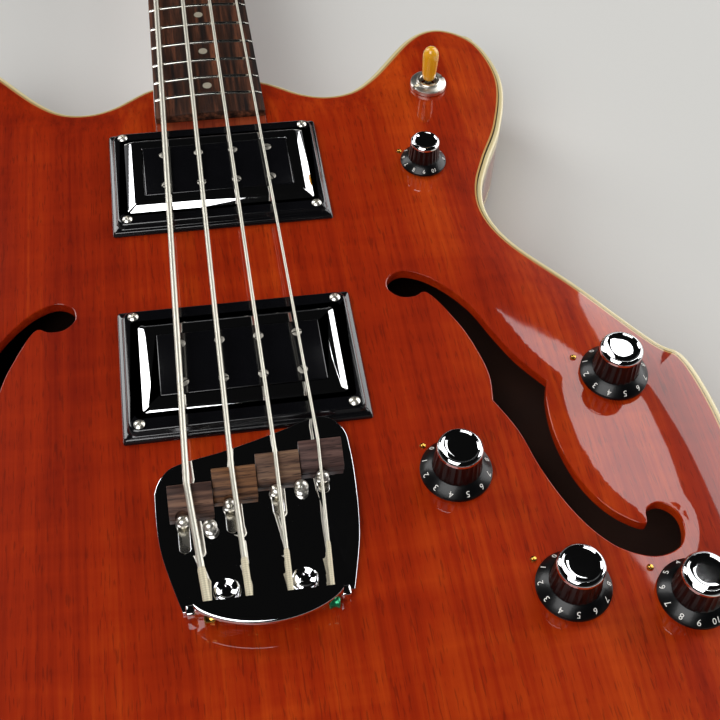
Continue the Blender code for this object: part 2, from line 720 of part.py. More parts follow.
def make_board(finishes):
    """The fingerboard with its frets: one section carried along, raised at each fret."""
    stations = [(BOARD_END_Y, 0.0)]
    for number in range(FRETS, 0, -1):
        y = fret_y(number)
        stations += [(y - FRET_HALF, 0.0), (y, FRET_TALL), (y + FRET_HALF, 0.0)]
    stations.append((NUT_Y - GAP, 0.0))
    rings = []
    for y, rise in stations:
        half = board_half(y)
        ring = []
        for k in range(5):
            x = half * (1 - k / 2)
            camber = BOARD_RADIUS - math.sqrt(BOARD_RADIUS ** 2 - x ** 2)
            ring.append((x, y, board_top(y) - camber + rise))
        ring += [(-half, y, board_top(y) - BOARD_THICK), (half, y, board_top(y) - BOARD_THICK)]
        rings.append(ring)
    return loft("fingerboard", rings, finishes["rosewood"])


def make_nut(material):
    """The nut: a bone bar whose top edge has four string grooves, carried through its length."""
    half = BOARD_HALF_NUT
    crown = board_top(NUT_Y) + STRING_OVER_NUT + 0.0006
    base = neck_top(NUT_Y) + GAP - 0.0001
    top_line = [(-half, crown - 0.0012)]
    for index in range(4):
        x, radius = string_x(index, NUT_Y), STRING_R[index] + PASS
        floor = board_top(NUT_Y) + STRING_OVER_NUT
        top_line.append((x - radius - 0.0003, crown))
        for k in range(5):
            turn = math.pi * (1 + k / 4)
            top_line.append((x + radius * math.cos(turn), floor + radius * math.sin(turn)))
        top_line.append((x + radius + 0.0003, crown))
    top_line.append((half, crown - 0.0012))
    section = [(half, base), (-half, base)] + top_line
    rings = [[(x, y, z) for x, z in section] for y in (NUT_Y, NUT_Y + NUT_LONG)]
    return loft("nut", rings, material)


def make_truss_rod(material):
    """The rod in its slot under the board, with the nut that tightens it at the head."""
    start = Vector((0, ROD_START_Y + 0.002, neck_top(ROD_START_Y + 0.002) - ROD_DEEP))
    length = HEAD_Y + ROD_END - start.y
    shoulder = length - ROD_NUT_LONG
    profile = ((0, length), (ROD_NUT_R, length), (ROD_NUT_R, shoulder), (ROD_R, shoulder),
               (ROD_R, 0), (0, 0))
    return turned("truss_rod", profile, material, start, 12, (0, 1, -NECK_FALL))


# Pickups

def make_pickup(which, finishes):
    y = PICKUP_Y[which]
    crown = TOP + COVER_TOP[which]
    half_ring_y = RING_HALF_Y[which]
    levels = ((0, 0), (0, RING_STEP), (0.0022, RING_STEP + 0.0005), (0.0027, RING_TALL - 0.0006),
              (0.0033, RING_TALL))
    rings = []
    for shrink, height in levels:
        outline = rounded_rectangle(RING_HALF_X - shrink, half_ring_y - shrink, 0.0022)
        rings.append([(px, y + py, TOP + GAP + height) for px, py in outline])
    ring = loft(which + "_pickup_ring", rings, finishes["black"])
    opening = rounded_rectangle(COVER_HALF_X + PASS, COVER_HALF_Y + PASS, 0.002)
    boolean(ring, prism("ring_opening", [(px, y + py) for px, py in opening],
                        TOP - 0.01, TOP + 0.02))
    for sx in (-1, 1):
        for sy in (-1, 1):
            place = (sx * RING_SCREW_X, y + sy * (half_ring_y - RING_SCREW_IN), TOP + GAP + 0.002)
            head = cylinder("ring_screw_head", RING_SCREW_R, place,
                            TOP + GAP + RING_TALL + 0.0009, 12)
            boolean(ring, head, "UNION")
    shoulder = TOP + RING_TALL - 0.0006

    def shell(grow, name):
        steps = ((0, TOP - COVER_DEEP), (0, shoulder), (1, crown))
        out = []
        for share, height in steps:
            outline = rounded_rectangle(COVER_HALF_X - grow - share * COVER_SLOPE_X,
                                        COVER_HALF_Y - grow - share * COVER_SLOPE_Y,
                                        COVER_CORNER)
            lift = -grow if share else 0
            out.append([(px, y + py, height + lift) for px, py in outline])
        if grow:
            out[0] = [(px, py, pz - 0.002) for px, py, pz in out[0]]
        return loft(name, out, finishes["chrome"])

    cover = shell(0, which + "_pickup_cover")
    boolean(cover, shell(COVER_SKIN, "cover_hollow"))
    boolean(cover, box("insert_opening",
                       (-INSERT_HALF_X - GAP, y - INSERT_HALF_Y - GAP, crown - 0.004),
                       (INSERT_HALF_X + GAP, y + INSERT_HALF_Y + GAP, crown + 0.004)))
    coil = box(which + "_pickup_coil", (-INSERT_HALF_X, y - INSERT_HALF_Y, TOP - COVER_DEEP),
               (INSERT_HALF_X, y + INSERT_HALF_Y, crown - 0.0003), finishes["black"])
    inside = rounded_rectangle(COVER_HALF_X - COVER_SKIN - GAP, COVER_HALF_Y - COVER_SKIN - GAP,
                               COVER_CORNER)
    flange = prism("coil_flange", [(px, y + py) for px, py in inside],
                   TOP - COVER_DEEP - 0.0010, TOP - COVER_DEEP + 0.0015)
    boolean(coil, flange, "UNION")
    for column in range(4):
        for row in (-1, 1):
            place = ((column - 1.5) * POLE_PITCH, y + row * POLE_ROW, crown - 0.002)
            pole = cylinder("pole_screw", POLE_R, place, crown + 0.0003, 8)
            boolean(coil, pole, "UNION")


# Bridge

BRIDGE_PIVOT = Vector((0, TAIL_WALL_Y - PLATE_METAL, TOP + GAP))
BRIDGE_FRAME = (Matrix.Translation(BRIDGE_PIVOT) @ Matrix.Rotation(BRIDGE_TILT, 4, "X")
                @ Matrix.Translation(-BRIDGE_PIVOT))


def on_bridge(obj):
    """Turns an object that was made level into the plane of the bridge plate."""
    obj.matrix_world = BRIDGE_FRAME @ obj.matrix_basis
    return obj


def bridge_outline():
    """The harp-shaped plate: low at the bass shoulder, a crest over the treble strings."""
    front = [(-0.0417, -0.0080), (-0.0398, -0.0028), (-0.0355, 0.0024), (-0.0300, 0.0047),
             (-0.0109, 0.0086), (0.0122, 0.0150), (0.0211, 0.0180), (0.0262, 0.0194),
             (0.0301, 0.0198), (0.0332, 0.0190), (0.0360, 0.0168), (0.0393, 0.0115),
             (0.0403, 0.0024), (0.0402, -0.0137), (0.0383, -0.0360), (0.0327, -0.0593)]
    back = [(-0.0340, -0.0602), (-0.0375, -0.0480), (-0.0405, -0.0350), (-0.0417, -0.0235)]
    return smooth_closed(front, 0.014, closed=False) + [front[-1]] + back


def saddle_x(index):
    return (index - 1.5) * SPACING_BRIDGE


def plate_top():
    return TOP + GAP + PLATE_METAL


def make_bridge(finishes):
    chrome = finishes["chrome"]
    level = plate_top()
    plate = on_bridge(prism("bridge_plate", bridge_outline(), TOP + GAP, level, chrome))
    wall_low = (TAIL_CENTRE_X - TAIL_WALL_HALF, TAIL_WALL_Y - PLATE_METAL, TOP + GAP + 0.0001)
    wall_high = (TAIL_CENTRE_X + TAIL_WALL_HALF, TAIL_WALL_Y, TOP + TAIL_TALL - 0.0001)
    boolean(plate, on_bridge(box("tail_wall", wall_low, wall_high)), "UNION")
    foot = box("tail_foot", (TAIL_CENTRE_X - TAIL_WALL_HALF - 0.0030, TAIL_WALL_Y - 0.0005,
                             TOP + GAP + 0.0002),
               (TAIL_CENTRE_X + TAIL_WALL_HALF + 0.0030, TAIL_WALL_Y + 0.0030, level - 0.0001))
    boolean(plate, on_bridge(foot), "UNION")
    lid = prism("tail_lid", lid_outline(), TOP + TAIL_TALL - PLATE_METAL, TOP + TAIL_TALL)
    boolean(plate, on_bridge(lid), "UNION")
    for index in range(4):
        x, y = SLOT_X + index * SLOT_PITCH, SADDLE_SCREW_Y[index]
        front = y + SADDLE_TRAVEL + SHANK_R + PASS
        boolean(plate, on_bridge(slot_cutter(x, SLOT_END_Y[index], front)))
        tail_x, tail_z = tail_string(index)
        radius = STRING_R[index] + WRAP + PASS
        hole = turned("string_hole", ((0, 0.01), (radius, 0.01), (radius, -0.01), (0, -0.01)),
                      chrome, (tail_x, TAIL_WALL_Y, tail_z), 10, (0, -1, 0))
        boolean(plate, on_bridge(hole))
        make_saddle(index, finishes)
    for x, y in HEIGHT_SCREW_XY + STUD_XY:
        hole = cylinder("plate_hole", POST_SCREW_R + PASS, (x, y, TOP - 0.001), level + 0.002, 10)
        boolean(plate, on_bridge(hole))
    for side, (x, y) in zip(("bass", "treble"), HEIGHT_SCREW_XY):
        head(side + "_height_screw", x, y, HEIGHT_SCREW_R, HEIGHT_SCREW_TALL, chrome)
    for side, (x, y) in zip(("bass", "treble"), STUD_XY):
        head(side + "_mounting_screw", x, y, STUD_R, STUD_TALL, chrome)


def head(name, x, y, radius, tall, material):
    """A round-headed screw that stands on the plate and runs down into the block."""
    base = GAP + PLATE_METAL + GAP
    foot = -POST_SCREW_DEEP
    profile = ((0, base + tall), (0.55 * radius, base + 0.93 * tall),
               (0.88 * radius, base + 0.7 * tall), (radius, base + 0.4 * tall), (radius, base),
               (POST_SCREW_R, base), (POST_SCREW_R, foot), (0, foot))
    return on_bridge(turned(name, profile, material, (x, y, TOP), 10))


def lid_outline():
    """The lens-shaped lid over the ball ends: a straight front and a round back."""
    points = []
    steps = 14
    half = TAIL_WALL_HALF
    for k in range(steps + 1):
        share = -1 + 2 * k / steps
        bulge = (LID_DEEP - PLATE_METAL) * (1 - share ** 2) ** 0.8
        points.append((TAIL_CENTRE_X + share * half, TAIL_WALL_Y - PLATE_METAL - bulge))
    return points + [(TAIL_CENTRE_X + half, TAIL_WALL_Y), (TAIL_CENTRE_X - half, TAIL_WALL_Y)]


def slot_cutter(x, low_y, high_y):
    points = []
    for k in range(10):
        turn = math.pi * (k if k < 5 else k - 1) / 4
        end = high_y - SLOT_HALF if k < 5 else low_y + SLOT_HALF
        points.append((x + SLOT_HALF * math.cos(turn), end + SLOT_HALF * math.sin(turn)))
    return prism("saddle_slot", points, TOP - 0.001, TOP + 0.004)


def saddle_crest(index):
    """World place of the line on the saddle's front edge that the string rests on."""
    y = (BRIDGE_FRAME @ Vector((0, SADDLE_FRONT_Y[index], TOP + 0.010))).y - 0.0012
    return Vector((string_x(index, y), y, string_height(y) - STRING_R[index] - GAP))


def make_saddle(index, finishes):
    """A rosewood block, highest at its front edge, with a round notch for its screw."""
    name = STRING_NAMES[index]
    front = SADDLE_FRONT_Y[index]
    back = front - SADDLE_DEEP
    base = plate_top() + GAP
    crest = (BRIDGE_FRAME.inverted() @ saddle_crest(index)).z
    profile = ((front, base), (front, crest - 0.0006), (front - 0.0006, crest),
               (front - 0.0020, crest - 0.0001), (back + 0.0008, base + SADDLE_TALL_BACK),
               (back, base + SADDLE_TALL_BACK - 0.0008), (back, base))
    half = SADDLE_WIDE / 2
    rings = [[(saddle_x(index) + side * half, y, z) for y, z in profile] for side in (-1, 1)]
    saddle = on_bridge(loft("saddle_" + name, rings, finishes["rosewood"]))
    x, y = SLOT_X + index * SLOT_PITCH, SADDLE_SCREW_Y[index]
    boolean(saddle, on_bridge(cylinder("screw_notch", SADDLE_SCREW_R + PASS, (x, y, base - 0.002),
                                       crest + 0.005, 14)))
    bottom = GAP + PLATE_METAL + GAP
    cap = bottom + SADDLE_SCREW_TALL
    profile = ((0, cap), (0.6 * SADDLE_SCREW_R, cap - 0.0003), (SADDLE_SCREW_R, cap - 0.0014),
               (SADDLE_SCREW_R, bottom), (SHANK_R, bottom), (SHANK_R, 2 * GAP), (0, 2 * GAP))
    on_bridge(turned("saddle_screw_" + name, profile, finishes["chrome"], (x, y, TOP), 10))


# Strings

def tail_string(index):
    return (index - 1.5) * SPACING_TAIL - 0.0002, TOP + TAIL_RISE


def make_string(index, finishes):
    """One string: ball end, silk wrap, saddle, nut, and its turns on the post."""
    radius = STRING_R[index]
    tail_x, tail_z = tail_string(index)
    nut_point = Vector((string_x(index, NUT_Y), NUT_Y, string_height(NUT_Y)))
    ball = min(BALL_R, radius + 0.0018)
    behind = TAIL_WALL_Y - PLATE_METAL - GAP
    places = (behind - 0.0052, behind - 0.0046, behind - 0.0006, behind, TAIL_WALL_Y + 0.001)
    points = [tuple(BRIDGE_FRAME @ Vector((tail_x, y, tail_z))) for y in places]
    radii = [0.75 * ball, ball, ball, radius + WRAP, radius + WRAP]
    over = saddle_crest(index) + Vector((0, 0, radius + GAP))
    start = Vector(points[-1])
    wrap_end = start.lerp(over, 0.42)
    points += [tuple(wrap_end), tuple(start.lerp(over, 0.45)), tuple(over), tuple(nut_point)]
    radii += [radius + WRAP, radius, radius, radius]
    after_nut = nut_point + Vector((0, NUT_LONG, 0))
    points.append((after_nut.x, after_nut.y, nut_point.z - NECK_FALL * NUT_LONG))
    radii.append(radius)
    turns = post_turns(index, Vector(points[-1]))
    points += turns
    radii += [radius] * len(turns)
    print("string", STRING_NAMES[index], "least gap between turns, mm:",
          round(1000 * least_gap(turns, radius), 3))
    return tube("string_" + STRING_NAMES[index], points, radii, finishes["string"])


def post_turns(index, start):
    """Turns round the post, from the tangent on its inner side, climbing by a steady pitch."""
    radius = STRING_R[index]
    coil = POST_R + GAP + radius + 0.0003
    flat = HEAD_FRAME.inverted() @ start
    centre = Vector((POST_ACROSS[index], POST_ALONG[index]))
    inner = 1 if centre.x < 0 else -1
    offset = centre - Vector((flat.x, flat.y))
    distance = offset.length
    lean = math.asin(coil / distance)
    heading = math.atan2(offset.y, offset.x) - inner * lean
    reach = math.sqrt(distance ** 2 - coil ** 2)
    touch = Vector((flat.x + reach * math.cos(heading), flat.y + reach * math.sin(heading)))
    first = math.atan2(touch.y - centre.y, touch.x - centre.x)
    pitch = 2 * radius + TURN_GAP
    low = 0.0085
    points = []
    steps = 24 * TURNS
    for k in range(steps + 1):
        turn = first + inner * 2 * math.pi * k / 24
        height = low + pitch * k / 24
        points.append(tuple(on_head(centre.x + coil * math.cos(turn),
                                    centre.y + coil * math.sin(turn), height)))
    return points


def least_gap(points, radius):
    """Least space between one turn and the next, measured point to point."""
    cloud = np.array(points)
    least = 1.0
    for i in range(len(cloud)):
        far = cloud[i + 12:]
        if len(far):
            least = min(least, float(np.linalg.norm(far - cloud[i], axis=1).min()))
    return least - 2 * radius


# Tuners

def make_tuner(index, finishes):
    name = STRING_NAMES[index]
    across, along = POST_ACROSS[index], POST_ALONG[index]
    side = -1 if across < 0 else 1
    out = HEAD_FRAME.to_3x3() @ Vector((0, 0, 1))
    back = -HEAD_THICK - GAP
    worm_out = back - TUNER_PLATE - TURN - WORM_R
    gear_top = worm_out + GEAR_THICK / 2
    profile = ((0, POST_TALL), (POST_R - 0.0006, POST_TALL), (POST_R, POST_TALL - 0.0006),
               (POST_R, gear_top), (GEAR_R, gear_top), (GEAR_R, gear_top - GEAR_THICK),
               (0, gear_top - GEAR_THICK))
    turned("tuner_post_" + name, profile, finishes["chrome"], on_head(across, along, 0), 14, out)
    worm_along = along + GEAR_R + WORM_R + TURN
    half_x, half_u = TUNER_PLATE_HALF
    middle = along + 0.0040
    plate = box("tuner_plate_" + name, (across - half_x, middle - half_u, back - TUNER_PLATE),
                (across + half_x, middle + half_u, back), finishes["chrome"])
    plate.matrix_world = HEAD_FRAME
    hole = cylinder("plate_post_hole", POST_R + TURN, (across, along, back - CUT), back + CUT, 12)
    hole.matrix_world = HEAD_FRAME
    boolean(plate, hole)
    ear_half = WORM_SHAFT_R + 0.0020
    for end in (-1, 1):
        centre = across + end * (half_x - EAR_THICK / 2)
        ear = box("ear", (centre - EAR_THICK / 2 + 0.0001, worm_along - ear_half,
                          worm_out - ear_half),
                  (centre + EAR_THICK / 2 - 0.0001, worm_along + ear_half, back - 0.0002))
        ear.matrix_world = HEAD_FRAME
        boolean(plate, ear, "UNION")
    bore = WORM_SHAFT_R + TURN
    reach = half_x + 0.005
    shaft_axis = Vector((side, 0, 0))
    shaft_hole = turned("ear_bore", ((0, reach), (bore, reach), (bore, -reach), (0, -reach)),
                        finishes["chrome"], on_head(across, worm_along, worm_out), 10, shaft_axis)
    boolean(plate, shaft_hole)
    edge = max(head_half(along), head_half(worm_along)) + 0.002 - abs(across)
    worm_half = half_x - EAR_THICK - TURN
    tip = edge + BUTTON_OUT
    profile = ((0, tip), (WORM_SHAFT_R + 0.0012, tip), (WORM_SHAFT_R + 0.0012, edge + 0.008),
               (WORM_SHAFT_R, edge + 0.006), (WORM_SHAFT_R, worm_half), (WORM_R, worm_half),
               (WORM_R, -worm_half), (WORM_SHAFT_R, -worm_half), (WORM_SHAFT_R, -half_x - 0.0005),
               (0, -half_x - 0.0005))
    button = turned("tuner_button_" + name, profile, finishes["chrome"],
                    on_head(across, worm_along, worm_out), 10, shaft_axis)
    paddle = prism("paddle", rounded_rectangle(BUTTON_HALF, BUTTON_HALF * 0.85, 0.005),
                   -BUTTON_THICK / 2, BUTTON_THICK / 2)
    paddle.matrix_world = HEAD_FRAME @ Matrix.Translation(
        (across + side * (tip + BUTTON_HALF - 0.0012), worm_along, worm_out))
    boolean(button, paddle, "UNION")


# Controls

def make_control(name, xy, finishes):
    """A knob with its shaft, and the pot that hangs under the top and clamps it."""
    x, y = xy
    share = KNOB_SHARE.get(name, 1.0)
    top, barrel, skirt = KNOB_TOP_R * share, KNOB_BARREL_R * share, SKIRT_R * share
    base = max(heights_round(x, y, skirt)) + KNOB_CLEAR
    seat = max(heights_round(x, y, BUSH_NUT_R)) + GAP
    lid = min(heights_round(x, y, POT_R)) - PLATE - GAP - FACET_SLACK
    crown = base + KNOB_TALL * share
    nut_top = seat + BUSH_NUT_TALL
    roof = nut_top + 0.0012
    foot = lid - POT_TALL + 0.002
    profile = ((0, crown), (top - 0.0007, crown), (top, crown - 0.0006),
               (barrel, base + 0.0050 * share), (barrel + 0.0014 * share, base + 0.0042 * share),
               (skirt - 0.0002, base + SKIRT_TALL * share), (skirt, base), (skirt - 0.0016, base),
               (BUSH_NUT_R + 0.0014, roof),
               (KNOB_SHAFT_R, roof), (KNOB_SHAFT_R, foot), (0, foot))
    turned("knob_" + name, profile, finishes["black"], (x, y, 0), 12)
    bore = KNOB_SHAFT_R + TURN
    profile = ((0, foot - TURN), (bore, foot - TURN), (bore, nut_top), (BUSH_NUT_R, nut_top),
               (BUSH_NUT_R, seat), (BUSH_R, seat), (BUSH_R, lid), (POT_R, lid),
               (POT_R, lid - POT_TALL), (0, lid - POT_TALL))
    turned("pot_" + name, profile, finishes["steel"], (x, y, 0), 10)


def make_switch(finishes):
    """A toggle: its frame under the top, its round nut above, and the lever in its bore."""
    x, y = SWITCH_XY
    seat = max(heights_round(x, y, SWITCH_NUT_R)) + GAP
    nut_top = seat + SWITCH_NUT_TALL
    pivot = seat - PIVOT_DEEP
    half_x, half_y, deep = SWITCH_BODY
    lid = min(heights_round(x, y, math.hypot(half_x, half_y))) - PLATE - GAP - FACET_SLACK
    profile = ((SWITCH_BORE_R, nut_top), (SWITCH_NUT_R - 0.0008, nut_top),
               (SWITCH_NUT_R, nut_top - 0.0010), (SWITCH_NUT_R, seat), (SWITCH_BUSH_R, seat),
               (SWITCH_BUSH_R, lid - 0.001), (SWITCH_BORE_R, lid - 0.001))
    body = turned("switch_body", profile, finishes["chrome"], (x, y, 0), 16)
    frame = box("switch_frame", (x - half_x, y - half_y, lid - deep), (x + half_x, y + half_y, lid))
    well = cylinder("switch_well", SWITCH_BORE_R, (x, y, lid - 0.006), lid + 0.001, 16)
    boolean(frame, well)
    boolean(body, frame, "UNION")
    base = seat + TIP_RISE
    shoulder = base + TIP_LONG - TIP_R
    dome = [(TIP_R * math.sin(math.radians(a)), shoulder + TIP_R * math.cos(math.radians(a)))
            for a in (0, 30, 60, 90)]
    ball = SWITCH_BORE_R - TURN
    socket = [(ball * math.cos(math.radians(a)), pivot + ball * math.sin(math.radians(a)))
              for a in (60, 30, 0, -30, -60)]
    profile = dome + [(TIP_BASE_R, base), (LEVER_R, base)] + socket + [(0, pivot - ball)]
    turned("switch_lever", [(r, z - pivot) for r, z in profile], finishes["amber"],
           (x, y, pivot), 14)


def make_jack(finishes):
    face = JACK_FLANGE + GAP
    mouth = face + JACK_LIP
    profile = ((JACK_BORE_R, mouth), (JACK_BUSH_R, mouth), (JACK_BUSH_R, face),
               (JACK_FLANGE_R, face), (JACK_FLANGE_R, GAP), (JACK_BUSH_R, GAP),
               (JACK_BUSH_R, -JACK_LONG), (JACK_BORE_R, -JACK_LONG))
    turned("output_jack", profile, finishes["chrome"], jack_place(), 12, (1, 0, 0))


def strap_button(name, place, axis, material):
    long = BUTTON_LONG + GAP
    profile = ((0, long), (BUTTON_R - 0.0012, long), (BUTTON_R, long - 0.0014),
               (BUTTON_R - 0.0006, long - 0.0030), (BUTTON_WAIST_R, long - 0.0052),
               (BUTTON_WAIST_R + 0.0004, 0.0045), (BUTTON_BASE_R, 0.0012), (BUTTON_BASE_R, GAP),
               (BUTTON_SCREW_R, GAP), (BUTTON_SCREW_R, -BUTTON_SCREW_LONG),
               (0, -BUTTON_SCREW_LONG))
    return turned(name, profile, material, place, 10, axis)


def main():
    clear_scene()
    finishes = {
        "mahogany": finish("mahogany_lacquer", "9C2410", 0.22),
        "cream": finish("cream_binding", "E8D9A8", 0.35),
        "maple": finish("maple_block", "C9A36B", 0.6),
        "rosewood": finish("rosewood", "5A3B2C", 0.5),
        "bone": finish("bone", "EDE6D2", 0.4),
        "black": finish("black_plastic", "0B0B0C", 0.25),
        "chrome": finish("chrome_plate", "E6E6E8", 0.06, 1.0),
        "steel": finish("zinc_steel", "9B9DA0", 0.35, 1.0),
        "string": finish("wound_nickel", "C9C7BE", 0.3, 1.0),
        "amber": finish("amber_plastic", "E8A018", 0.25),
    }
    make_body(finishes)
    make_neck(finishes)
    for which in PICKUP_Y:
        make_pickup(which, finishes)
    make_bridge(finishes)
    for index in range(4):
        make_string(index, finishes)
        make_tuner(index, finishes)
    for name, xy in KNOB_XY.items():
        make_control(name, xy, finishes)
    make_switch(finishes)
    make_jack(finishes)
    strap_button("strap_button_tail", (0, TAIL_Y, RIM_MIDDLE), (0, -1, 0), finishes["chrome"])
    strap_button("strap_button_heel", (0, HEEL_BUTTON_Y, heel_face()), (0, 0, -1),
                 finishes["chrome"])


main()
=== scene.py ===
# %% [markdown]
# # A semi-hollow bass guitar, dressed for the camera
#
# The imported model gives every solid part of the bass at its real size. This lesson keeps that frame and builds
# the surfaces that the eye sees: lacquered mahogany, bound edges, mirror chrome, moulded black plastic,
# rosewood and wound strings. Each cell makes one kind of piece or one finish, and prints what it made.

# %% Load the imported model
import json
import math

import bmesh
import bpy
import numpy as np
from mathutils import Matrix, Quaternion, Vector
from mathutils.kdtree import KDTree

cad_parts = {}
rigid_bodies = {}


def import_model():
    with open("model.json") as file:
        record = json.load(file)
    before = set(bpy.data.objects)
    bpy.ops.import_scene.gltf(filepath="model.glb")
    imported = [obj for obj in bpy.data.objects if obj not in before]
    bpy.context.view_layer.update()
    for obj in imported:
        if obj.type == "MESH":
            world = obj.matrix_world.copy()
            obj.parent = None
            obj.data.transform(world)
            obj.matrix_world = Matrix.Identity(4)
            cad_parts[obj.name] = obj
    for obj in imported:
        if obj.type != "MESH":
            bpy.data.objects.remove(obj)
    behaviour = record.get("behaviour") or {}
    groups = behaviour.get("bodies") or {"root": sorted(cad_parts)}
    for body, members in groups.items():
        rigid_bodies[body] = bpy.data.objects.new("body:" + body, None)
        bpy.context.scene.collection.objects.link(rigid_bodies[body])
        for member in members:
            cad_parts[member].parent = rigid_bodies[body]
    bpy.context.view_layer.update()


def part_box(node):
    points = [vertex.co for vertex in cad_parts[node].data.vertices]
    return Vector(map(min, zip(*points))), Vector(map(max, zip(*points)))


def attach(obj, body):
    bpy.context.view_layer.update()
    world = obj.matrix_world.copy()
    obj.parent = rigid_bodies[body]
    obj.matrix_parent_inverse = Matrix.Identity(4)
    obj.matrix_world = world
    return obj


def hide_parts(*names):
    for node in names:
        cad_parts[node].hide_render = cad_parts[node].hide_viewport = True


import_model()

# %% [markdown]
# ## The camera
# The photograph was taken from the tail end, well above the top and a little to the bass side, with a fairly
# long lens. The place comes from fitting a pinhole camera to the frets, strings and pickups. A camera looks
# along its own -Z, so the view direction is turned into a rotation and rolled by the small lean of the
# photograph.

# %% Camera
CAMERA_PLACE = Vector((-0.0136, -0.2635, 0.4858))
CAMERA_DOWN = math.radians(52.71)       # how far below the horizon it looks
CAMERA_AZIMUTH = math.radians(11.85)    # from +Y towards +X
CAMERA_ROLL = math.radians(3.44)
CAMERA_LENS = 59.37                     # mm, on a 36 mm wide sensor

look = Vector((math.sin(CAMERA_AZIMUTH) * math.cos(CAMERA_DOWN),
               math.cos(CAMERA_AZIMUTH) * math.cos(CAMERA_DOWN), -math.sin(CAMERA_DOWN)))
camera = bpy.data.objects.new("camera", bpy.data.cameras.new("camera"))
camera.location = CAMERA_PLACE
camera.rotation_mode = "QUATERNION"
camera.rotation_quaternion = look.to_track_quat("-Z", "Y") @ Quaternion((0, 0, 1), CAMERA_ROLL)
camera.data.lens = CAMERA_LENS
camera.data.sensor_width = 36
camera.data.clip_start = 0.01
bpy.context.scene.collection.objects.link(camera)
bpy.context.scene.camera = camera
bpy.context.scene.view_settings.view_transform = "Standard"
print("camera at", [round(c, 4) for c in camera.location], "lens", CAMERA_LENS)

# %% [markdown]
# ## Nodes, colours and pieces
# Colours are written as sRGB hex, as a paint chart gives them, and turned to the linear values that a shader
# wants. One function adds any node with its settings and links. Another turns a finished bmesh into a piece
# that rides on one body of the bass.

# %% Helpers for colours and nodes
def colour(hex_code):
    channels = [int(hex_code[i:i + 2], 16) / 255 for i in (0, 2, 4)]
    return (*[c / 12.92 if c <= 0.04045 else ((c + 0.055) / 1.055) ** 2.4 for c in channels], 1.0)


def feed(node, sockets):
    """Sets sockets of a node, each to a value or to another node's output."""
    for key, value in sockets.items():
        if isinstance(value, bpy.types.NodeSocket):
            node.id_data.links.new(value, node.inputs[key])
        else:
            node.inputs[key].default_value = value


def add(tree, kind, sockets, **settings):
    """Adds one node with its settings and links."""
    node = tree.nodes.new(kind)
    for key, value in settings.items():
        setattr(node, key, value)
    feed(node, sockets)
    return node


def material(name, base, rough, **sockets):
    """A material with its Principled shader set: base is hex, and socket names have _ for a space."""
    made = bpy.data.materials.new(name)
    made.use_nodes = True
    shader = made.node_tree.nodes["Principled BSDF"]
    feed(shader, {"Base Color": colour(base), "Roughness": rough})
    feed(shader, {key.replace("_", " "): value for key, value in sockets.items()})
    made.diffuse_color = colour(base)
    return made, made.node_tree, shader


def noise(tree, size_mm, detail, grain=None, **sockets):
    """Noise fixed to the piece, its features as large as size_mm; grain is their length in mm and its axis."""
    place = add(tree, "ShaderNodeTexCoord", {}).outputs["Object"]
    scale = 1000 / size_mm
    if grain:
        long_mm, along = grain
        stretch = [scale] * 3
        stretch[along] = 1000 / long_mm
        place = add(tree, "ShaderNodeMapping", {"Vector": place, "Scale": stretch}).outputs["Vector"]
        scale = 1.0
    return add(tree, "ShaderNodeTexNoise",
               {"Vector": place, "Scale": scale, "Detail": detail, **sockets}).outputs["Fac"]


def blend(tree, share, one, other):
    return add(tree, "ShaderNodeMix", {"Factor": share, "A": one, "B": other}, data_type="RGBA").outputs["Result"]


def remap(tree, value, *ends):
    """Maps a value from one range to another: from low, from high, to low, to high."""
    keys = ("From Min", "From Max", "To Min", "To Max")
    return add(tree, "ShaderNodeMapRange", {"Value": value, **dict(zip(keys, ends))}).outputs["Result"]


def maths(tree, operation, *values):
    return add(tree, "ShaderNodeMath", dict(enumerate(values)), operation=operation).outputs[0]


def bumped(tree, height, strength, distance, **settings):
    """The normals of a relief of so many metres."""
    return add(tree, "ShaderNodeBump", {"Height": height, "Strength": strength, "Distance": distance},
               **settings).outputs["Normal"]


def ramp_of(tree, share, stops):
    """A colour ramp with three stops of (place, hex)."""
    ramp = add(tree, "ShaderNodeValToRGB", {"Fac": share})
    ramp.color_ramp.elements.new(0.5)
    for stop, (place, tone) in zip(ramp.color_ramp.elements, stops):
        stop.position, stop.color = place, colour(tone)
    return ramp.outputs["Color"]


# %% Helpers for pieces
def mm(*numbers):
    """Pairs of lengths, written in millimetres."""
    metres = [round(number / 1000, 7) for number in numbers]
    return tuple(zip(metres[::2], metres[1::2]))


def loop_of(bm, points):
    """A closed ring of edges through points."""
    corners = [bm.verts.new(point) for point in points]
    return [bm.edges.new((corners[i - 1], corners[i])) for i in range(len(corners))]


def raise_faces(bm, faces, tall):
    """Extrudes flat faces straight up."""
    raised = bmesh.ops.extrude_face_region(bm, geom=faces)["geom"]
    bmesh.ops.translate(bm, vec=(0, 0, tall), verts=[g for g in raised if isinstance(g, bmesh.types.BMVert)])


def slab(bm, outline, low, high):
    """A flat outline of (x, y) points, filled and raised from one height to another."""
    ring = loop_of(bm, [(x, y, low) for x, y in outline])
    floor = bmesh.ops.contextual_create(bm, geom=ring)["faces"]
    raise_faces(bm, floor, high - low)


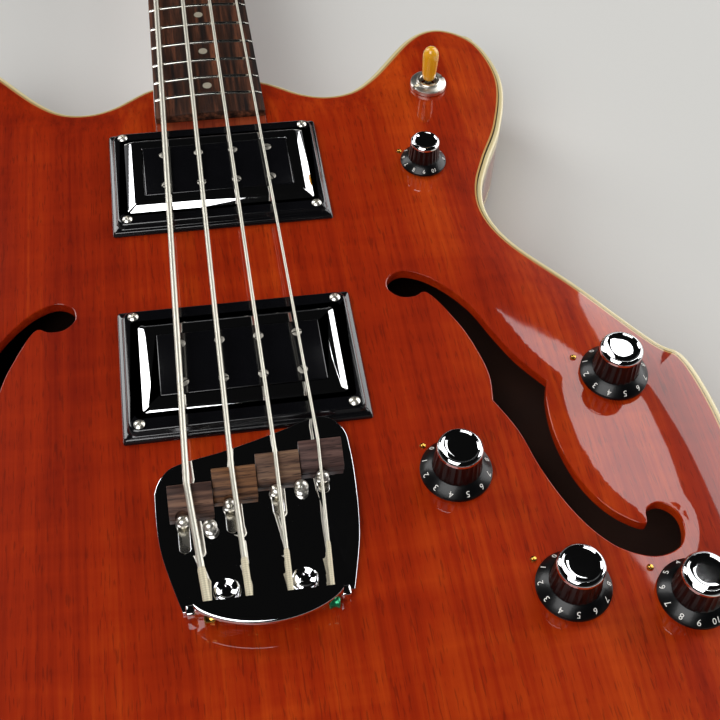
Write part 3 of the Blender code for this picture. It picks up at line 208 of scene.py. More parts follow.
def lathe(bm, profile, steps=48, place=(0, 0, 0), axis=(0, 0, 1)):
    """Spins a (radius, height) profile all the way round an axis through place."""
    before = set(bm.verts)
    corners = [bm.verts.new((radius, 0, height)) for radius, height in profile]
    edges = [bm.edges.new(pair) for pair in zip(corners, corners[1:])]
    bmesh.ops.spin(bm, geom=corners + edges, cent=(0, 0, 0), axis=(0, 0, 1), angle=2 * math.pi,
                   steps=steps, use_merge=True)
    made = [v for v in bm.verts if v not in before]
    bmesh.ops.remove_doubles(bm, verts=made, dist=1e-7)
    made = [v for v in bm.verts if v not in before]
    turn = Vector(axis).to_track_quat("Z", "Y").to_matrix().to_4x4()
    bmesh.ops.transform(bm, matrix=Matrix.Translation(place) @ turn, verts=made)


def rounded_bar(bm, low, high, ease=0.0, segments=2):
    """A box between two corners with its edges eased."""
    made = bmesh.ops.create_cube(bm, size=1.0)["verts"]
    low, high = Vector(low), Vector(high)
    bmesh.ops.scale(bm, vec=high - low, verts=made)
    bmesh.ops.translate(bm, vec=(low + high) / 2, verts=made)
    if ease:
        edges = list({e for v in made for e in v.link_edges})
        faces = bmesh.ops.bevel(bm, geom=edges, offset=ease, segments=segments, profile=0.5,
                                affect="EDGES", material=-1, clamp_overlap=True)["faces"]
        made = list({v for f in faces for v in f.verts})
    return made


def ease_edges(bm, edges, width, segments=2):
    bmesh.ops.bevel(bm, geom=list(edges), offset=width, segments=segments, profile=0.5,
                    affect="EDGES", material=-1, clamp_overlap=True)


def to_object(name, bm, look=None, sharp=35):
    """Ends a bmesh: doubles merged, faces out, smooth where the surface is."""
    bmesh.ops.remove_doubles(bm, verts=bm.verts, dist=1e-7)
    bmesh.ops.recalc_face_normals(bm, faces=bm.faces)
    mesh = bpy.data.meshes.new(name)
    bm.to_mesh(mesh)
    bm.free()
    mesh.shade_smooth()
    mesh.set_sharp_from_angle(angle=math.radians(sharp))
    made = bpy.data.objects.new(name, mesh)
    bpy.context.scene.collection.objects.link(made)
    if look:
        mesh.materials.append(look)
    return made


def dress(made, body="root", stands_for=()):
    """Makes an object ride on a body and stand for CAD nodes."""
    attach(made, body)
    if stands_for:
        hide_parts(*stands_for)
    return made


def piece(name, bm, look, body="root", stands_for=(), finish=None, sharp=35):
    """Ends a bmesh as an object and dresses it."""
    return dress(to_object(name, bm, look, sharp), body, stands_for)


def turned(name, look, profile, steps, place=(0, 0, 0), axis=(0, 0, 1), frame_of=None, **dressing):
    """A piece spun from one profile, and dressed."""
    bm = bmesh.new()
    lathe(bm, profile, steps, place, axis)
    if frame_of:
        bmesh.ops.transform(bm, matrix=frame_of, verts=bm.verts)
    return piece(name, bm, look, **dressing)


def carve(target, cutters, operation="DIFFERENCE", sharp=35):
    """Cuts a piece with other objects, keeps the result as its mesh and removes the cutters."""
    for cutter in cutters:
        cut = target.modifiers.new("cut", "BOOLEAN")
        cut.operation = operation
        cut.solver = "EXACT"
        cut.object = cutter
    bake_modifiers(target, sharp)
    for cutter in cutters:
        bpy.data.objects.remove(cutter)


def bake_modifiers(target, sharp=35):
    """Replaces a piece's mesh by the one that its modifiers give."""
    graph = bpy.context.evaluated_depsgraph_get()
    mesh = bpy.data.meshes.new_from_object(target.evaluated_get(graph))
    old = target.data
    target.modifiers.clear()
    target.data = mesh
    bpy.data.meshes.remove(old)
    mesh.name = target.name
    mesh.shade_smooth()
    mesh.set_sharp_from_angle(angle=math.radians(sharp))

# %% [markdown]
# ## Sizes that the surfaces share with the solids
# The body's outline is a smooth curve through a few points of one half, mirrored. The plates are arched: low at
# the rim, rising over a hand's breadth to a flat strip down the middle. The same two rules made the solids, so
# a knob or a ring that sits on the solid top also sits on the fine one.

# %% Outline of the body
TOP_Z = 0.062               # flat of the top over the flat of the back
ARCH = 0.008
ARCH_EDGE = 0.036
FLAT_HALF = 0.055
PLATE = 0.005
RIM_TOP, RIM_BACK = TOP_Z - ARCH, ARCH
BINDING_WIDE, BINDING_TALL = 0.0026, 0.0075
SEAM = 0.0003               # gap between pieces that touch
LOWER_HALF, LOWER_Y, TAIL_Y = 0.210, -0.008, -0.204
HORN_POINTS = mm(0, 263, 31, 256.6, 52, 244, 64, 240.6, 77, 242.5, 89, 251.4, 116.5, 283, 126.5, 289.7,
                 136.5, 291.2, 148, 286, 157.5, 275, 163.7, 242.8, 154, 204, 142, 179.5, 134.5, 161, 132.6, 147,
                 134.8, 134.5, 141.5, 120.5, 165, 90.2, 195, 49)


def smooth_curve(points, spacing, closed=True):
    """Centripetal Catmull-Rom curve through points, about one sample each spacing."""
    pts = [np.array(p, float) for p in points]
    count = len(pts)
    out = []
    for i in range(count if closed else count - 1):
        near = [pts[(i + k) % count] if closed else pts[min(max(i + k, 0), count - 1)] for k in (-1, 0, 1, 2)]
        knots = [0.0]
        for one, other in zip(near, near[1:]):
            knots.append(knots[-1] + max(float(np.linalg.norm(other - one)), 1e-6) ** 0.5)
        steps = max(1, round(float(np.linalg.norm(near[2] - near[1])) / spacing))
        for k in range(steps):
            t = knots[1] + (knots[2] - knots[1]) * k / steps
            level = near
            for depth in (1, 2):
                level = [((knots[j + depth] - t) * level[j] + (t - knots[j]) * level[j + 1])
                         / (knots[j + depth] - knots[j]) for j in range(len(level) - 1)]
            share = (t - knots[1]) / (knots[2] - knots[1])
            out.append((1 - share) * level[0] + share * level[1])
    return [tuple(p) for p in out] if closed else [tuple(p) for p in out] + [tuple(pts[-1])]


def body_outline(spacing):
    bout = [(LOWER_HALF * math.cos(math.radians(a)), LOWER_Y + (LOWER_Y - TAIL_Y) * math.sin(math.radians(a)))
            for a in range(15, -90, -15)]
    half = list(HORN_POINTS) + bout + [(0.0, TAIL_Y)]
    return smooth_curve(half + [(-x, y) for x, y in reversed(half[1:-1])], spacing)


def inset(outline, distance):
    """The outline moved inwards along its own normals."""
    pts = np.array(outline)
    along = np.roll(pts, -1, 0) - np.roll(pts, 1, 0)
    along /= np.linalg.norm(along, axis=1)[:, None]
    return [tuple(p) for p in pts + distance * np.stack([along[:, 1], -along[:, 0]], 1)]


OUTLINE = body_outline(0.0035)
RIM_POINTS = np.array(body_outline(0.0006))


def tree_of(points):
    """A tree that finds the nearest of flat points."""
    made = KDTree(len(points))
    for i, point in enumerate(points):
        made.insert((*point, 0), i)
    made.balance()
    return made


RIM = tree_of(RIM_POINTS)


def rim_distance(xy):
    """Distance of each point to the rim."""
    return np.array([RIM.find((x, y, 0))[2] for x, y in np.atleast_2d(xy)])


def arch_share(xy):
    """Share of the full arch at each point: 0 at the rim, 1 over the flat."""
    xy = np.atleast_2d(xy)
    edge = 1 - np.maximum(0, 1 - rim_distance(xy) / ARCH_EDGE) ** 2.2
    across = 1 - np.maximum(0, (np.abs(xy[:, 0]) - FLAT_HALF) / (LOWER_HALF - FLAT_HALF)) ** 1.6
    return edge * (0.5 + 0.5 * across)


def top_height(x, y):
    return RIM_TOP + ARCH * float(arch_share((x, y))[0])


print("outline points", len(OUTLINE))

# %% [markdown]
# ## Cutters that follow the arch
# An f-hole, a pickup cavity and a screw hole are all cut through an arched plate. The lacquer rounds every such
# edge a little, so the f-hole's cutter flares where it leaves the wood: its upper rings follow the arch and
# spread outwards.

# %% Holes
F_HOLE = mm(89.3, 89, 84.5, 86.8, 77.5, 87.2, 72.6, 92.5, 73.8, 99, 80, 102.6, 88, 100.5, 97.9, 92.8, 108.5, 78.9,
            116.7, 60, 123.9, 45.3, 134, 31.2, 131.3, 22, 130.2, 3, 133.9, -18, 140.5, -32, 149, -41.2, 157, -45,
            159, -38.5, 165, -36, 170.8, -40, 172.2, -47, 168, -56.5, 157, -60, 143.5, -55, 134.4, -45.6,
            126.7, -32, 120.1, -13.9, 115, 7, 107.7, 23.5, 109.2, 37, 106.3, 53.7, 101.3, 68.8)
F_CORNERS = (11, 29)        # the notches keep their points
LIP = 0.0006                # rounding of the lacquer at a cut edge


def with_corners(points, corners, spacing):
    """A smooth closed curve that stays sharp at some of its points."""
    first, second = corners
    one = smooth_curve(points[first:second + 1], spacing, closed=False)
    other = smooth_curve(points[second:] + points[:first + 1], spacing, closed=False)
    return one[:-1] + other[:-1]


def flared_cutter(outline):
    """A cutter through the top whose mouth opens by the lip and follows the arch."""
    bm = bmesh.new()
    loops = []
    for grow, above in ((0, None), (0, -1.2 * LIP), (-0.3 * LIP, -0.45 * LIP), (-LIP, 0), (-2.2 * LIP, 1.2 * LIP)):
        ring = inset(outline, grow) if grow else outline
        heights = RIM_TOP + ARCH * arch_share(np.array(ring)) if above is not None else None
        loops.append(loop_of(bm, [(x, y, 0.03 if above is None else heights[i] + above)
                                  for i, (x, y) in enumerate(ring)]))
    for lower, upper in zip(loops, loops[1:]):
        bmesh.ops.bridge_loops(bm, edges=lower + upper)
    bmesh.ops.holes_fill(bm, edges=loops[0] + loops[-1])
    return to_object("f_hole_cutter", bm)


def block_cutter(low, high):
    bm = bmesh.new()
    rounded_bar(bm, low, high)
    return to_object("block_cutter", bm)


def drill(place, radius, deep=0.03, up=0.02, axis=(0, 0, 1), steps=32):
    """A round cutter through place."""
    bm = bmesh.new()
    lathe(bm, ((0, up), (radius, up), (radius, -deep), (0, -deep)), steps, place, axis)
    return to_object("drill", bm)

# %% [markdown]
# ## Lacquered mahogany
# The body is laminated mahogany, stained orange-red and sprayed with a thick clear lacquer that is buffed to a
# mirror. Quarter-sawn mahogany shows broad ribbons that catch the light in turn, a faint cross figure, and
# short dark pores that run with the grain. Three stretched noises draw those three things. The lacquer is the
# shader's coat: it gives the sharp reflections, while the wood under it stays soft.

# %% Mahogany
def mahogany(name, along, dark, middle, light, lines=None):
    """Wood whose grain runs along one axis (0, 1 or 2); lines adds the purfling near the rim."""
    made, tree, shader = material(name, middle, 0.42, Coat_Weight=1.0, Coat_Roughness=0.035, Coat_IOR=1.5,
                                  Specular_IOR_Level=0.08)

    def figure_of(across_mm, along_mm, detail, distort=0.0):
        return noise(tree, across_mm, detail, (along_mm, along), Roughness=0.55, Distortion=distort)

    mixed = maths(tree, "MULTIPLY", figure_of(30, 900, 3.0, 0.25), 0.62)     # ribbons
    for part, share in ((figure_of(75, 16, 3.0, 0.6), 0.20), (figure_of(2.2, 160, 4.0), 0.32),
                        (figure_of(170, 260, 2.0), 0.30)):                  # cross figure, streaks, clouds
        mixed = maths(tree, "MULTIPLY_ADD", part, share, mixed)
    wood = ramp_of(tree, mixed, ((0.52, dark), (0.72, middle), (0.93, light)))
    pores = remap(tree, figure_of(0.75, 9.0, 1.0), 0.60, 0.68, 0.0, 0.34)
    wood = blend(tree, pores, wood, colour("3A0E06"))
    if lines:
        reach = add(tree, "ShaderNodeAttribute", {}, attribute_name="rim_mm").outputs["Fac"]
        for start, end, tone in lines:
            inside = maths(tree, "COMPARE", reach, (start + end) / 2, (end - start) / 2)
            wood = blend(tree, inside, wood, colour(tone))
    feed(shader, {"Base Color": wood, "Coat Normal": bumped(tree, figure_of(22, 26, 2.0), 0.05, 0.0008)})
    return made


DARK, MIDDLE, LIGHT = "721203", "9E2806", "C4480F"
top_wood = mahogany("lacquered_mahogany_top", 1, DARK, MIDDLE, LIGHT,
                    lines=((2.6, 3.2, "3A3A2A"), (3.2, 4.1, "C99A5E")))
back_wood = mahogany("lacquered_mahogany_back", 1, DARK, MIDDLE, LIGHT)
side_wood = mahogany("lacquered_mahogany_sides", 0, "641608", "8E2A10", "A8431B")
neck_wood = mahogany("lacquered_mahogany_neck", 1, "5E1A0C", "84301A", "A24C2A")

# %% [markdown]
# ## Binding, bone and bare wood
# The binding is cast sheet plastic, bent round the rim and scraped flush. Its cream has yellowed unevenly under
# the lacquer. Inside, the block is bare maple, which only shows through the f-holes.
# The inner faces of the plates and sides take a dark brown that is painted shade, for the dark hollow of the body.

# %% Binding, maple and bone
def mottled(name, base, second, size_mm, rough, **sockets):
    """A plain moulded or bare surface whose colour drifts slowly between two tones."""
    made, tree, shader = material(name, base, rough, **sockets)
    tone = blend(tree, noise(tree, size_mm, 3.0), colour(base), colour(second))
    feed(shader, {"Base Color": tone, "Normal": bumped(tree, noise(tree, 1.2, 2.0), 0.06, 0.0002)})
    return made


cream = mottled("aged_cream_binding", "F0E2B2", "DEC88E", 45, 0.3, Coat_Weight=0.8, Coat_Roughness=0.04)
bone = mottled("polished_bone", "EFE6CE", "DCCDA8", 9, 0.3, Coat_Weight=0.3, Coat_Roughness=0.2)
maple = mottled("bare_maple", "B98A55", "9C6E3E", 14, 0.7)
# Painted shade: the inner faces of the plates and sides are coloured dark to stand for the shade inside the hollow
# body.
inner_painted_shade = mottled("inner_wood_painted_shade", "42200F", "2A130A", 20, 0.8)

# %% [markdown]
# ## The arched top
# A fine grid is lifted to the arch, given its thickness, and trimmed by the outline of the body less the
# binding. Then everything that passes through it is cut: f-holes, pickup cavities, shafts, screws and the
# neck's pocket. Each corner of the mesh keeps its distance to the rim, from which the material draws the thin
# purfling lines.

# %% Plates
def arched_grid(name, height, thickness, cell):
    """A grid over the body's box, lifted by a function of its points, with a thickness."""
    low, high = RIM_POINTS.min(0) - cell, RIM_POINTS.max(0) + cell
    counts = [round(float(size) / cell) for size in high - low]
    bm = bmesh.new()
    bmesh.ops.create_grid(bm, x_segments=counts[0], y_segments=counts[1], size=0.5)
    bmesh.ops.scale(bm, vec=(*(high - low), 1), verts=bm.verts)
    bmesh.ops.translate(bm, vec=(*((high + low) / 2), 0), verts=bm.verts)
    xy = np.array([(v.co.x, v.co.y) for v in bm.verts])
    for v, z in zip(bm.verts, height(xy)):
        v.co.z = z
    for _ in range(3):
        bmesh.ops.smooth_vert(bm, verts=[v for v in bm.verts if not v.is_boundary], factor=0.5,
                              use_axis_z=True)
    bmesh.ops.solidify(bm, geom=bm.faces, thickness=thickness)
    return to_object(name, bm)


def rim_cutter(distance, low, high):
    bm = bmesh.new()
    slab(bm, inset(OUTLINE, distance), low, high)
    return to_object("rim_cutter", bm)


BRIDGE_TILT = math.radians(3.5)
BRIDGE_PIVOT = Vector((0, -0.0628, TOP_Z + SEAM))
BRIDGE_FRAME = (Matrix.Translation(BRIDGE_PIVOT) @ Matrix.Rotation(BRIDGE_TILT, 4, "X")
                @ Matrix.Translation(-BRIDGE_PIVOT))
BRIDGE_UP = BRIDGE_FRAME.to_3x3() @ Vector((0, 0, 1))
HEIGHT_SCREWS = {"bass": (-0.0207, -0.0264), "treble": (0.0175, -0.0138)}
STUDS = {"bass": (-0.0165, -0.0541), "treble": (0.0140, -0.0535)}
KNOBS = {"master_volume": (0.1053, 0.1752), "neck_volume": (0.0833, -0.0110),
         "bridge_volume": (0.1185, -0.0695), "neck_tone": (0.1650, 0.0310), "bridge_tone": (0.1660, -0.0790)}
SWITCH = (0.1195, 0.2345)
PICKUPS = {"neck": 0.1755, "bridge": 0.0560}
CAVITY = (0.0480, 0.0267)   # half sizes of a pickup's cavity
POCKET = (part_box("fingerboard")[1].x + SEAM, 0.2108, 0.2790)      # half width, and its two ends along the neck


def top_cutters():
    f_hole = with_corners(F_HOLE, F_CORNERS, 0.0016)
    made = [flared_cutter(f_hole), flared_cutter([(-x, y) for x, y in reversed(f_hole)])]
    for y in PICKUPS.values():
        made.append(block_cutter((-CAVITY[0], y - CAVITY[1], 0.03), (CAVITY[0], y + CAVITY[1], 0.08)))
    made.append(block_cutter((-POCKET[0], POCKET[1], 0.01), (POCKET[0], POCKET[2], 0.08)))
    for x, y in [*HEIGHT_SCREWS.values(), *STUDS.values()]:
        made.append(drill(BRIDGE_FRAME @ Vector((x, y, TOP_Z)), 0.0025, axis=BRIDGE_UP))
    made += [drill((x, y, TOP_Z), 0.0050) for x, y in KNOBS.values()]
    made.append(drill((*SWITCH, TOP_Z), 0.0060))
    return made


DIP, DIP_REACH = 0.0005, 0.009      # the top sinks a little towards the outer edge of an f-hole
F_EDGE = np.array(with_corners(F_HOLE, F_CORNERS, 0.0008))
F_NORMALS = np.array(inset(F_EDGE, -1.0)) - F_EDGE
HOLE = tree_of(F_EDGE)


def lacquered_height(xy):
    """The arch with the dips beside its f-holes."""
    found = [HOLE.find((abs(x), y, 0))[1:] for x, y in xy]
    outer = np.maximum(0, F_NORMALS[[index for index, _ in found], 0])
    away = np.array([distance for _, distance in found])
    return RIM_TOP + ARCH * arch_share(xy) - DIP * outer * np.maximum(0, 1 - away / DIP_REACH) ** 2


def calm(xy):
    """Share of the arch's slope that the buffed lacquer keeps: less over the horns than over the wide bout."""
    share = np.clip((xy[:, 1] - 0.09) / 0.06, 0, 1)
    return 1 - 0.65 * share * share * (3 - 2 * share)


def line_inside(target, look, inside):
    """Gives the faces that look into the body the dark painted shade of the hollow."""
    target.data.materials.append(look)
    for face in target.data.polygons:
        face.material_index = int(inside(face))


def smooth_over(target, height_sign, height, keep):
    """Gives the outer face of a plate the exact normals of its arch, so that reflections stay smooth."""
    mesh = target.data
    xy = np.array([(v.co.x, v.co.y) for v in mesh.vertices])
    step = 0.002
    slope_x = (height(xy + (step, 0)) - height(xy - (step, 0))) / (2 * step)
    slope_y = (height(xy + (0, step)) - height(xy - (0, step))) / (2 * step)
    exact = np.stack([-slope_x * keep(xy), -slope_y * keep(xy), np.ones(len(xy))], 1) * height_sign
    exact /= np.linalg.norm(exact, axis=1)[:, None]
    corners = np.array([list(c.vector) for c in mesh.corner_normals])
    for face in mesh.polygons:
        if face.normal.z * height_sign > 0.9:
            for i in face.loop_indices:
                corners[i] = exact[mesh.loops[i].vertex_index]
    mesh.normals_split_custom_set(corners.tolist())


top = arched_grid("top_plate_arched", lambda xy: RIM_TOP + ARCH * arch_share(xy), PLATE, 0.0027)
carve(top, [rim_cutter(BINDING_WIDE + SEAM, 0.02, 0.09)], "INTERSECT")
carve(top, top_cutters())
reach = top.data.attributes.new("rim_mm", "FLOAT", "POINT")
reach.data.foreach_set("value", 1000 * rim_distance([(v.co.x, v.co.y) for v in top.data.vertices]))
smooth_over(top, 1, lacquered_height, calm)
top.data.materials.append(top_wood)
# The top's underside takes the dark painted shade.
line_inside(top, inner_painted_shade, lambda face: face.normal.z < -0.5)
dress(top, stands_for=["top_plate"])
print("top plate", len(top.data.polygons), "faces")

back = arched_grid("back_plate_arched", lambda xy: RIM_BACK - ARCH * arch_share(xy), -PLATE, 0.0042)
carve(back, [rim_cutter(BINDING_WIDE + SEAM, -0.02, 0.04)], "INTERSECT")
back.data.materials.append(back_wood)
# The back's inner face takes the dark painted shade.
line_inside(back, inner_painted_shade, lambda face: face.normal.z > 0.5)
dress(back, stands_for=["back_plate"])

# %% [markdown]
# ## Sides and bindings
# The sides are thin strips bent round a mould. A ring between two loops of the outline, raised to its height,
# gives each band, and easing its outer edges gives the scraped roundness that catches a thin line of light.

# %% Sides and bindings
def band(name, outer, inner, low, high, look, eased=0.0, top_edge=True):
    """A ring between two insets of the outline, raised from low to high, its outer edge eased."""
    bm = bmesh.new()
    rings = [loop_of(bm, [(x, y, low) for x, y in inset(OUTLINE, d)]) for d in (outer, inner)]
    raise_faces(bm, bmesh.ops.bridge_loops(bm, edges=rings[0] + rings[1])["faces"], high - low)
    if eased:
        level = high if top_edge else low
        rim = {tuple(np.round(p, 6)) for p in inset(OUTLINE, outer)}
        chosen = [e for e in bm.edges if all(abs(v.co.z - level) < 1e-6 and
                  tuple(np.round((v.co.x, v.co.y), 6)) in rim for v in e.verts)]
        ease_edges(bm, chosen, eased, 3)
    return to_object(name, bm, look)


sides = band("side_band", 0, 0.0055, RIM_BACK + BINDING_TALL + SEAM, RIM_TOP - BINDING_TALL - SEAM, side_wood)
top_binding = band("top_binding_band", -0.00005, BINDING_WIDE, RIM_TOP - BINDING_TALL, RIM_TOP + 0.00005, cream,
                   0.0011)
back_binding = band("back_binding_band", -0.00005, BINDING_WIDE, RIM_BACK, RIM_BACK + BINDING_TALL, cream, 0.0011,
                    top_edge=False)
for made in (sides, top_binding):
    carve(made, [block_cutter((-POCKET[0], POCKET[1], 0.01), (POCKET[0], POCKET[2] + 0.02, 0.08))])
carve(sides, [drill((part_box("output_jack")[1].x - 0.01, -0.016, 0.031), 0.0063, 0.03, 0.03, (1, 0, 0)),
              drill((0, TAIL_Y, 0.031), 0.0024, 0.03, 0.02, (0, -1, 0))])
# The sides' inner faces take the dark painted shade.
line_inside(sides, inner_painted_shade, lambda face: RIM.find((face.center.x, face.center.y, 0))[2] > 0.0045)
dress(sides, stands_for=["sides"])
dress(top_binding, stands_for=["top_binding"])
dress(back_binding, stands_for=["back_binding"])
print("bands", [len(o.data.polygons) for o in (sides, top_binding, back_binding)])

# %% [markdown]
# ## Metals, plastics and the darker woods
# Plated metal is a mirror that takes its look from the room, with a haze that comes and goes. Moulded black
# plastic has a thin gloss. Rosewood is left dry, with dark lines and open pores. The wrap of a string is drawn
# along the run that each vertex keeps, so the windings follow the string round its post.

# %% Metals, plastics and woods
def metal(name, base, rough, haze=0.03, size_mm=7):
    """Metal whose polish changes a little from place to place."""
    made, tree, shader = material(name, base, rough, Metallic=1.0)
    feed(shader, {"Roughness": remap(tree, noise(tree, size_mm, 4.0), 0.45, 0.75, rough, rough + haze)})
    return made


def rosewood(name, along, dark, middle, light, line_mm=0.9):
    """Dry dark wood with lines and pores along one axis."""
    made, tree, shader = material(name, middle, 0.55, Specular_IOR_Level=0.22)
    tones = zip((0.36, 0.5, 0.68), (dark, middle, light))
    wood = ramp_of(tree, noise(tree, line_mm * 3, 4.0, (60, along)), tones)
    pores = remap(tree, noise(tree, line_mm * 0.45, 1.0, (7, along)), 0.58, 0.66, 0.0, 0.75)
    feed(shader, {"Base Color": blend(tree, pores, wood, colour("140A08")),
                  "Normal": bumped(tree, pores, 0.35, 0.0001, invert=True)})
    return made


def wound(name, base, rough, pitch_mm, depth_mm, metallic=1.0):
    """A wrapped string: a rounded thread that repeats along the run, with painted shade in the grooves between
    turns.
    """
    made, tree, shader = material(name, base, rough, Metallic=metallic)
    run = add(tree, "ShaderNodeAttribute", {}, attribute_name="run_mm").outputs["Fac"]
    wave = maths(tree, "ABSOLUTE", maths(tree, "SINE", maths(tree, "MULTIPLY", run, math.pi / pitch_mm)))
    # Painted shade: the colour turns to a darker grey in the groove between two turns.
    tone = blend(tree, remap(tree, wave, 0.0, 0.5, 0.55, 1.0), colour("8A857A"), colour(base))
    feed(shader, {"Base Color": tone, "Normal": bumped(tree, wave, 0.2, depth_mm / 1000)})
    return made


chrome = metal("mirror_chrome", "E8E8EA", 0.03, 0.02)
satin = metal("satin_nickel", "C9C5BA", 0.22, 0.1)
bright = metal("bright_nickel", "ECE8DE", 0.3, 0.08)
pole_metal = metal("pole_nickel", "AEAAA0", 0.5, 0.1, 4)
steel = metal("zinc_steel", "9B9DA0", 0.34, 0.12)
brass = metal("brass", "D9A84E", 0.2, 0.1, 2)
fret_metal = metal("fret_metal", "D8D5CC", 0.12, 0.08, 3)
black = mottled("moulded_black", "08080A", "0D0D10", 12, 0.16, Coat_Weight=0.6, Coat_Roughness=0.05)
knob_black = mottled("moulded_knob_black", "050506", "08080A", 9, 0.3, Coat_Weight=0.12, Coat_Roughness=0.1,
                     Specular_IOR_Level=0.3)
veneer = mottled("black_face_veneer", "0A0909", "120E0D", 30, 0.25, Coat_Weight=1.0, Coat_Roughness=0.03)
amber = mottled("amber_plastic", "FBC02C", "F2A81A", 6, 0.2, Coat_Weight=0.7, Coat_Roughness=0.06,
                Subsurface_Weight=0.25, Subsurface_Radius=(0.004, 0.002, 0.001))
pearl = mottled("pearl_dot", "B9B09C", "958E80", 2.2, 0.2, Coat_Weight=0.8, Coat_Roughness=0.05)
green = mottled("green_anodised", "2E9E6B", "1E7A52", 2, 0.25, Metallic=0.7)
white_paint = mottled("white_paint", "FAF8F2", "EFECE4", 1.5, 0.5)
board_wood = rosewood("rosewood_board", 1, "160B07", "3C2114", "6A3D28")
saddle_woods = [rosewood("rosewood_saddle_" + n, 0, *tones, 0.7) for n, tones in (
    ("e", ("3A2620", "64483C", "83614E")), ("a", ("3C2418", "6A472F", "8A6040")),
    ("d", ("3E2A22", "664B3C", "86674F")), ("g", ("2E1F1D", "523A35", "6C5049")))]
string_skin = wound("wound_nickel", "E2DECF", 0.4, 0.55, 0.12, 0.75)
silk_skin = wound("tail_wrap", "DDD3B6", 0.5, 0.9, 0.2, 0.4)

for name, look_of in (("centre_block", maple), ("truss_rod", steel), *[("pot_" + k, steel) for k in KNOBS]):
    slots = bpy.data.objects[name].data.materials
    slots.clear()
    slots.append(look_of)
print("materials", len(bpy.data.materials))

# %% [markdown]
# ## Skins through rings
# Many of the hard pieces are a pile of closed rings with a skin between them: a pickup ring, a cover, the neck.
# A string is the same thing along a path, with rings at right angles to the way it runs.

# %% Helpers for skins
def rounded_rectangle(half_x, half_y, radius, steps=6):
    points = []
    for sx, sy, start in ((1, 1, 0), (-1, 1, 90), (-1, -1, 180), (1, -1, 270)):
        for k in range(steps + 1):
            turn = math.radians(start + 90 * k / steps)
            points.append((sx * (half_x - radius) + radius * math.cos(turn),
                           sy * (half_y - radius) + radius * math.sin(turn)))
    return points


def stack(bm, rings, closed=False):
    """Skins a pile of rings; closed joins the last to the first, and otherwise both ends are capped."""
    loops = [loop_of(bm, ring) for ring in rings]
    pairs = list(zip(loops, loops[1:])) + ([(loops[-1], loops[0])] if closed else [])
    for lower, upper in pairs:
        bmesh.ops.bridge_loops(bm, edges=lower + upper)
    if not closed:
        bmesh.ops.holes_fill(bm, edges=loops[0] + loops[-1])


def sweep(bm, path, radii, sides=14):
    """A round skin along a path, extruded ring by ring; each vertex keeps how far along it lies, in mm."""
    run = bm.verts.layers.float.new("run_mm")
    side, travelled = path[1] - path[0], 0.0
    side = side.orthogonal()
    for k, (here, radius) in enumerate(zip(path, radii)):
        way = (path[min(k + 1, len(path) - 1)] - path[max(k - 1, 0)]).normalized()
        side = (side - way * side.dot(way)).normalized()
        turn = Matrix((side, way.cross(side), way)).transposed().to_4x4()
        frame_of = Matrix.Translation(here) @ turn @ Matrix.Diagonal((radius, radius, radius, 1))
        if k == 0:
            corners = bmesh.ops.create_circle(bm, segments=sides, radius=1.0, matrix=frame_of)["verts"]
            first = edges = list({e for v in corners for e in v.link_edges})
        else:
            grown = bmesh.ops.extrude_edge_only(bm, edges=edges)["geom"]
            corners = {g for g in grown if isinstance(g, bmesh.types.BMVert)}
            edges = [g for g in grown if isinstance(g, bmesh.types.BMEdge) and corners.issuperset(g.verts)]
            bmesh.ops.transform(bm, matrix=frame_of @ last.inverted(), verts=list(corners))
            travelled += 1000 * (here - path[k - 1]).length
        for v in corners:
            v[run] = travelled
        last = frame_of
    bmesh.ops.holes_fill(bm, edges=first + edges)


def framed(bm, frame_of):
    """Moves a whole bmesh from a level frame into a tilted one."""
    bmesh.ops.transform(bm, matrix=frame_of, verts=bm.verts)


def slotted(heads, places, half_wide, deep_from, long, angles, crossed=False):
    """Cuts a screwdriver slot, or a cross of two, in each head: one direction after the other."""
    for turn in (0, math.pi / 2) if crossed else (0,):
        bm = bmesh.new()
        for (x, y, z), angle in zip(places, angles):
            made = rounded_bar(bm, (-long, -half_wide, deep_from), (long, half_wide, deep_from + 0.01))
            bmesh.ops.rotate(bm, verts=made, cent=(0, 0, 0), matrix=Matrix.Rotation(angle + turn, 3, "Z"))
            bmesh.ops.translate(bm, vec=(x, y, z), verts=made)
        carve(heads, [to_object("slots", bm)])

# %% [markdown]
# ## Pickups
# Each pickup is a chrome cover with sloping flanks, set in a stepped plastic ring. A black insert fills the
# window in its top, and two rows of screws stand in the insert. The ring's upper tier has round corners that
# run about its screws.

# %% Pickups
COVER_TOP = {"neck": 0.0084, "bridge": 0.0067}
RING_HALF_Y = {"neck": 0.0350, "bridge": 0.0358}
RING_HALF_X, RING_TALL, RING_STEP = 0.0535, 0.0055, 0.0024
RING_SCREW_X, RING_SCREW_IN = 0.0460, 0.0063
COVER_HALF, COVER_SLOPE = (0.0468, 0.0260), (0.0052, 0.0038)
INSERT_HALF = (0.0363, 0.0167)
POLE_PITCH, POLE_ROW, POLE_R = 0.01725, 0.01055, 0.0028

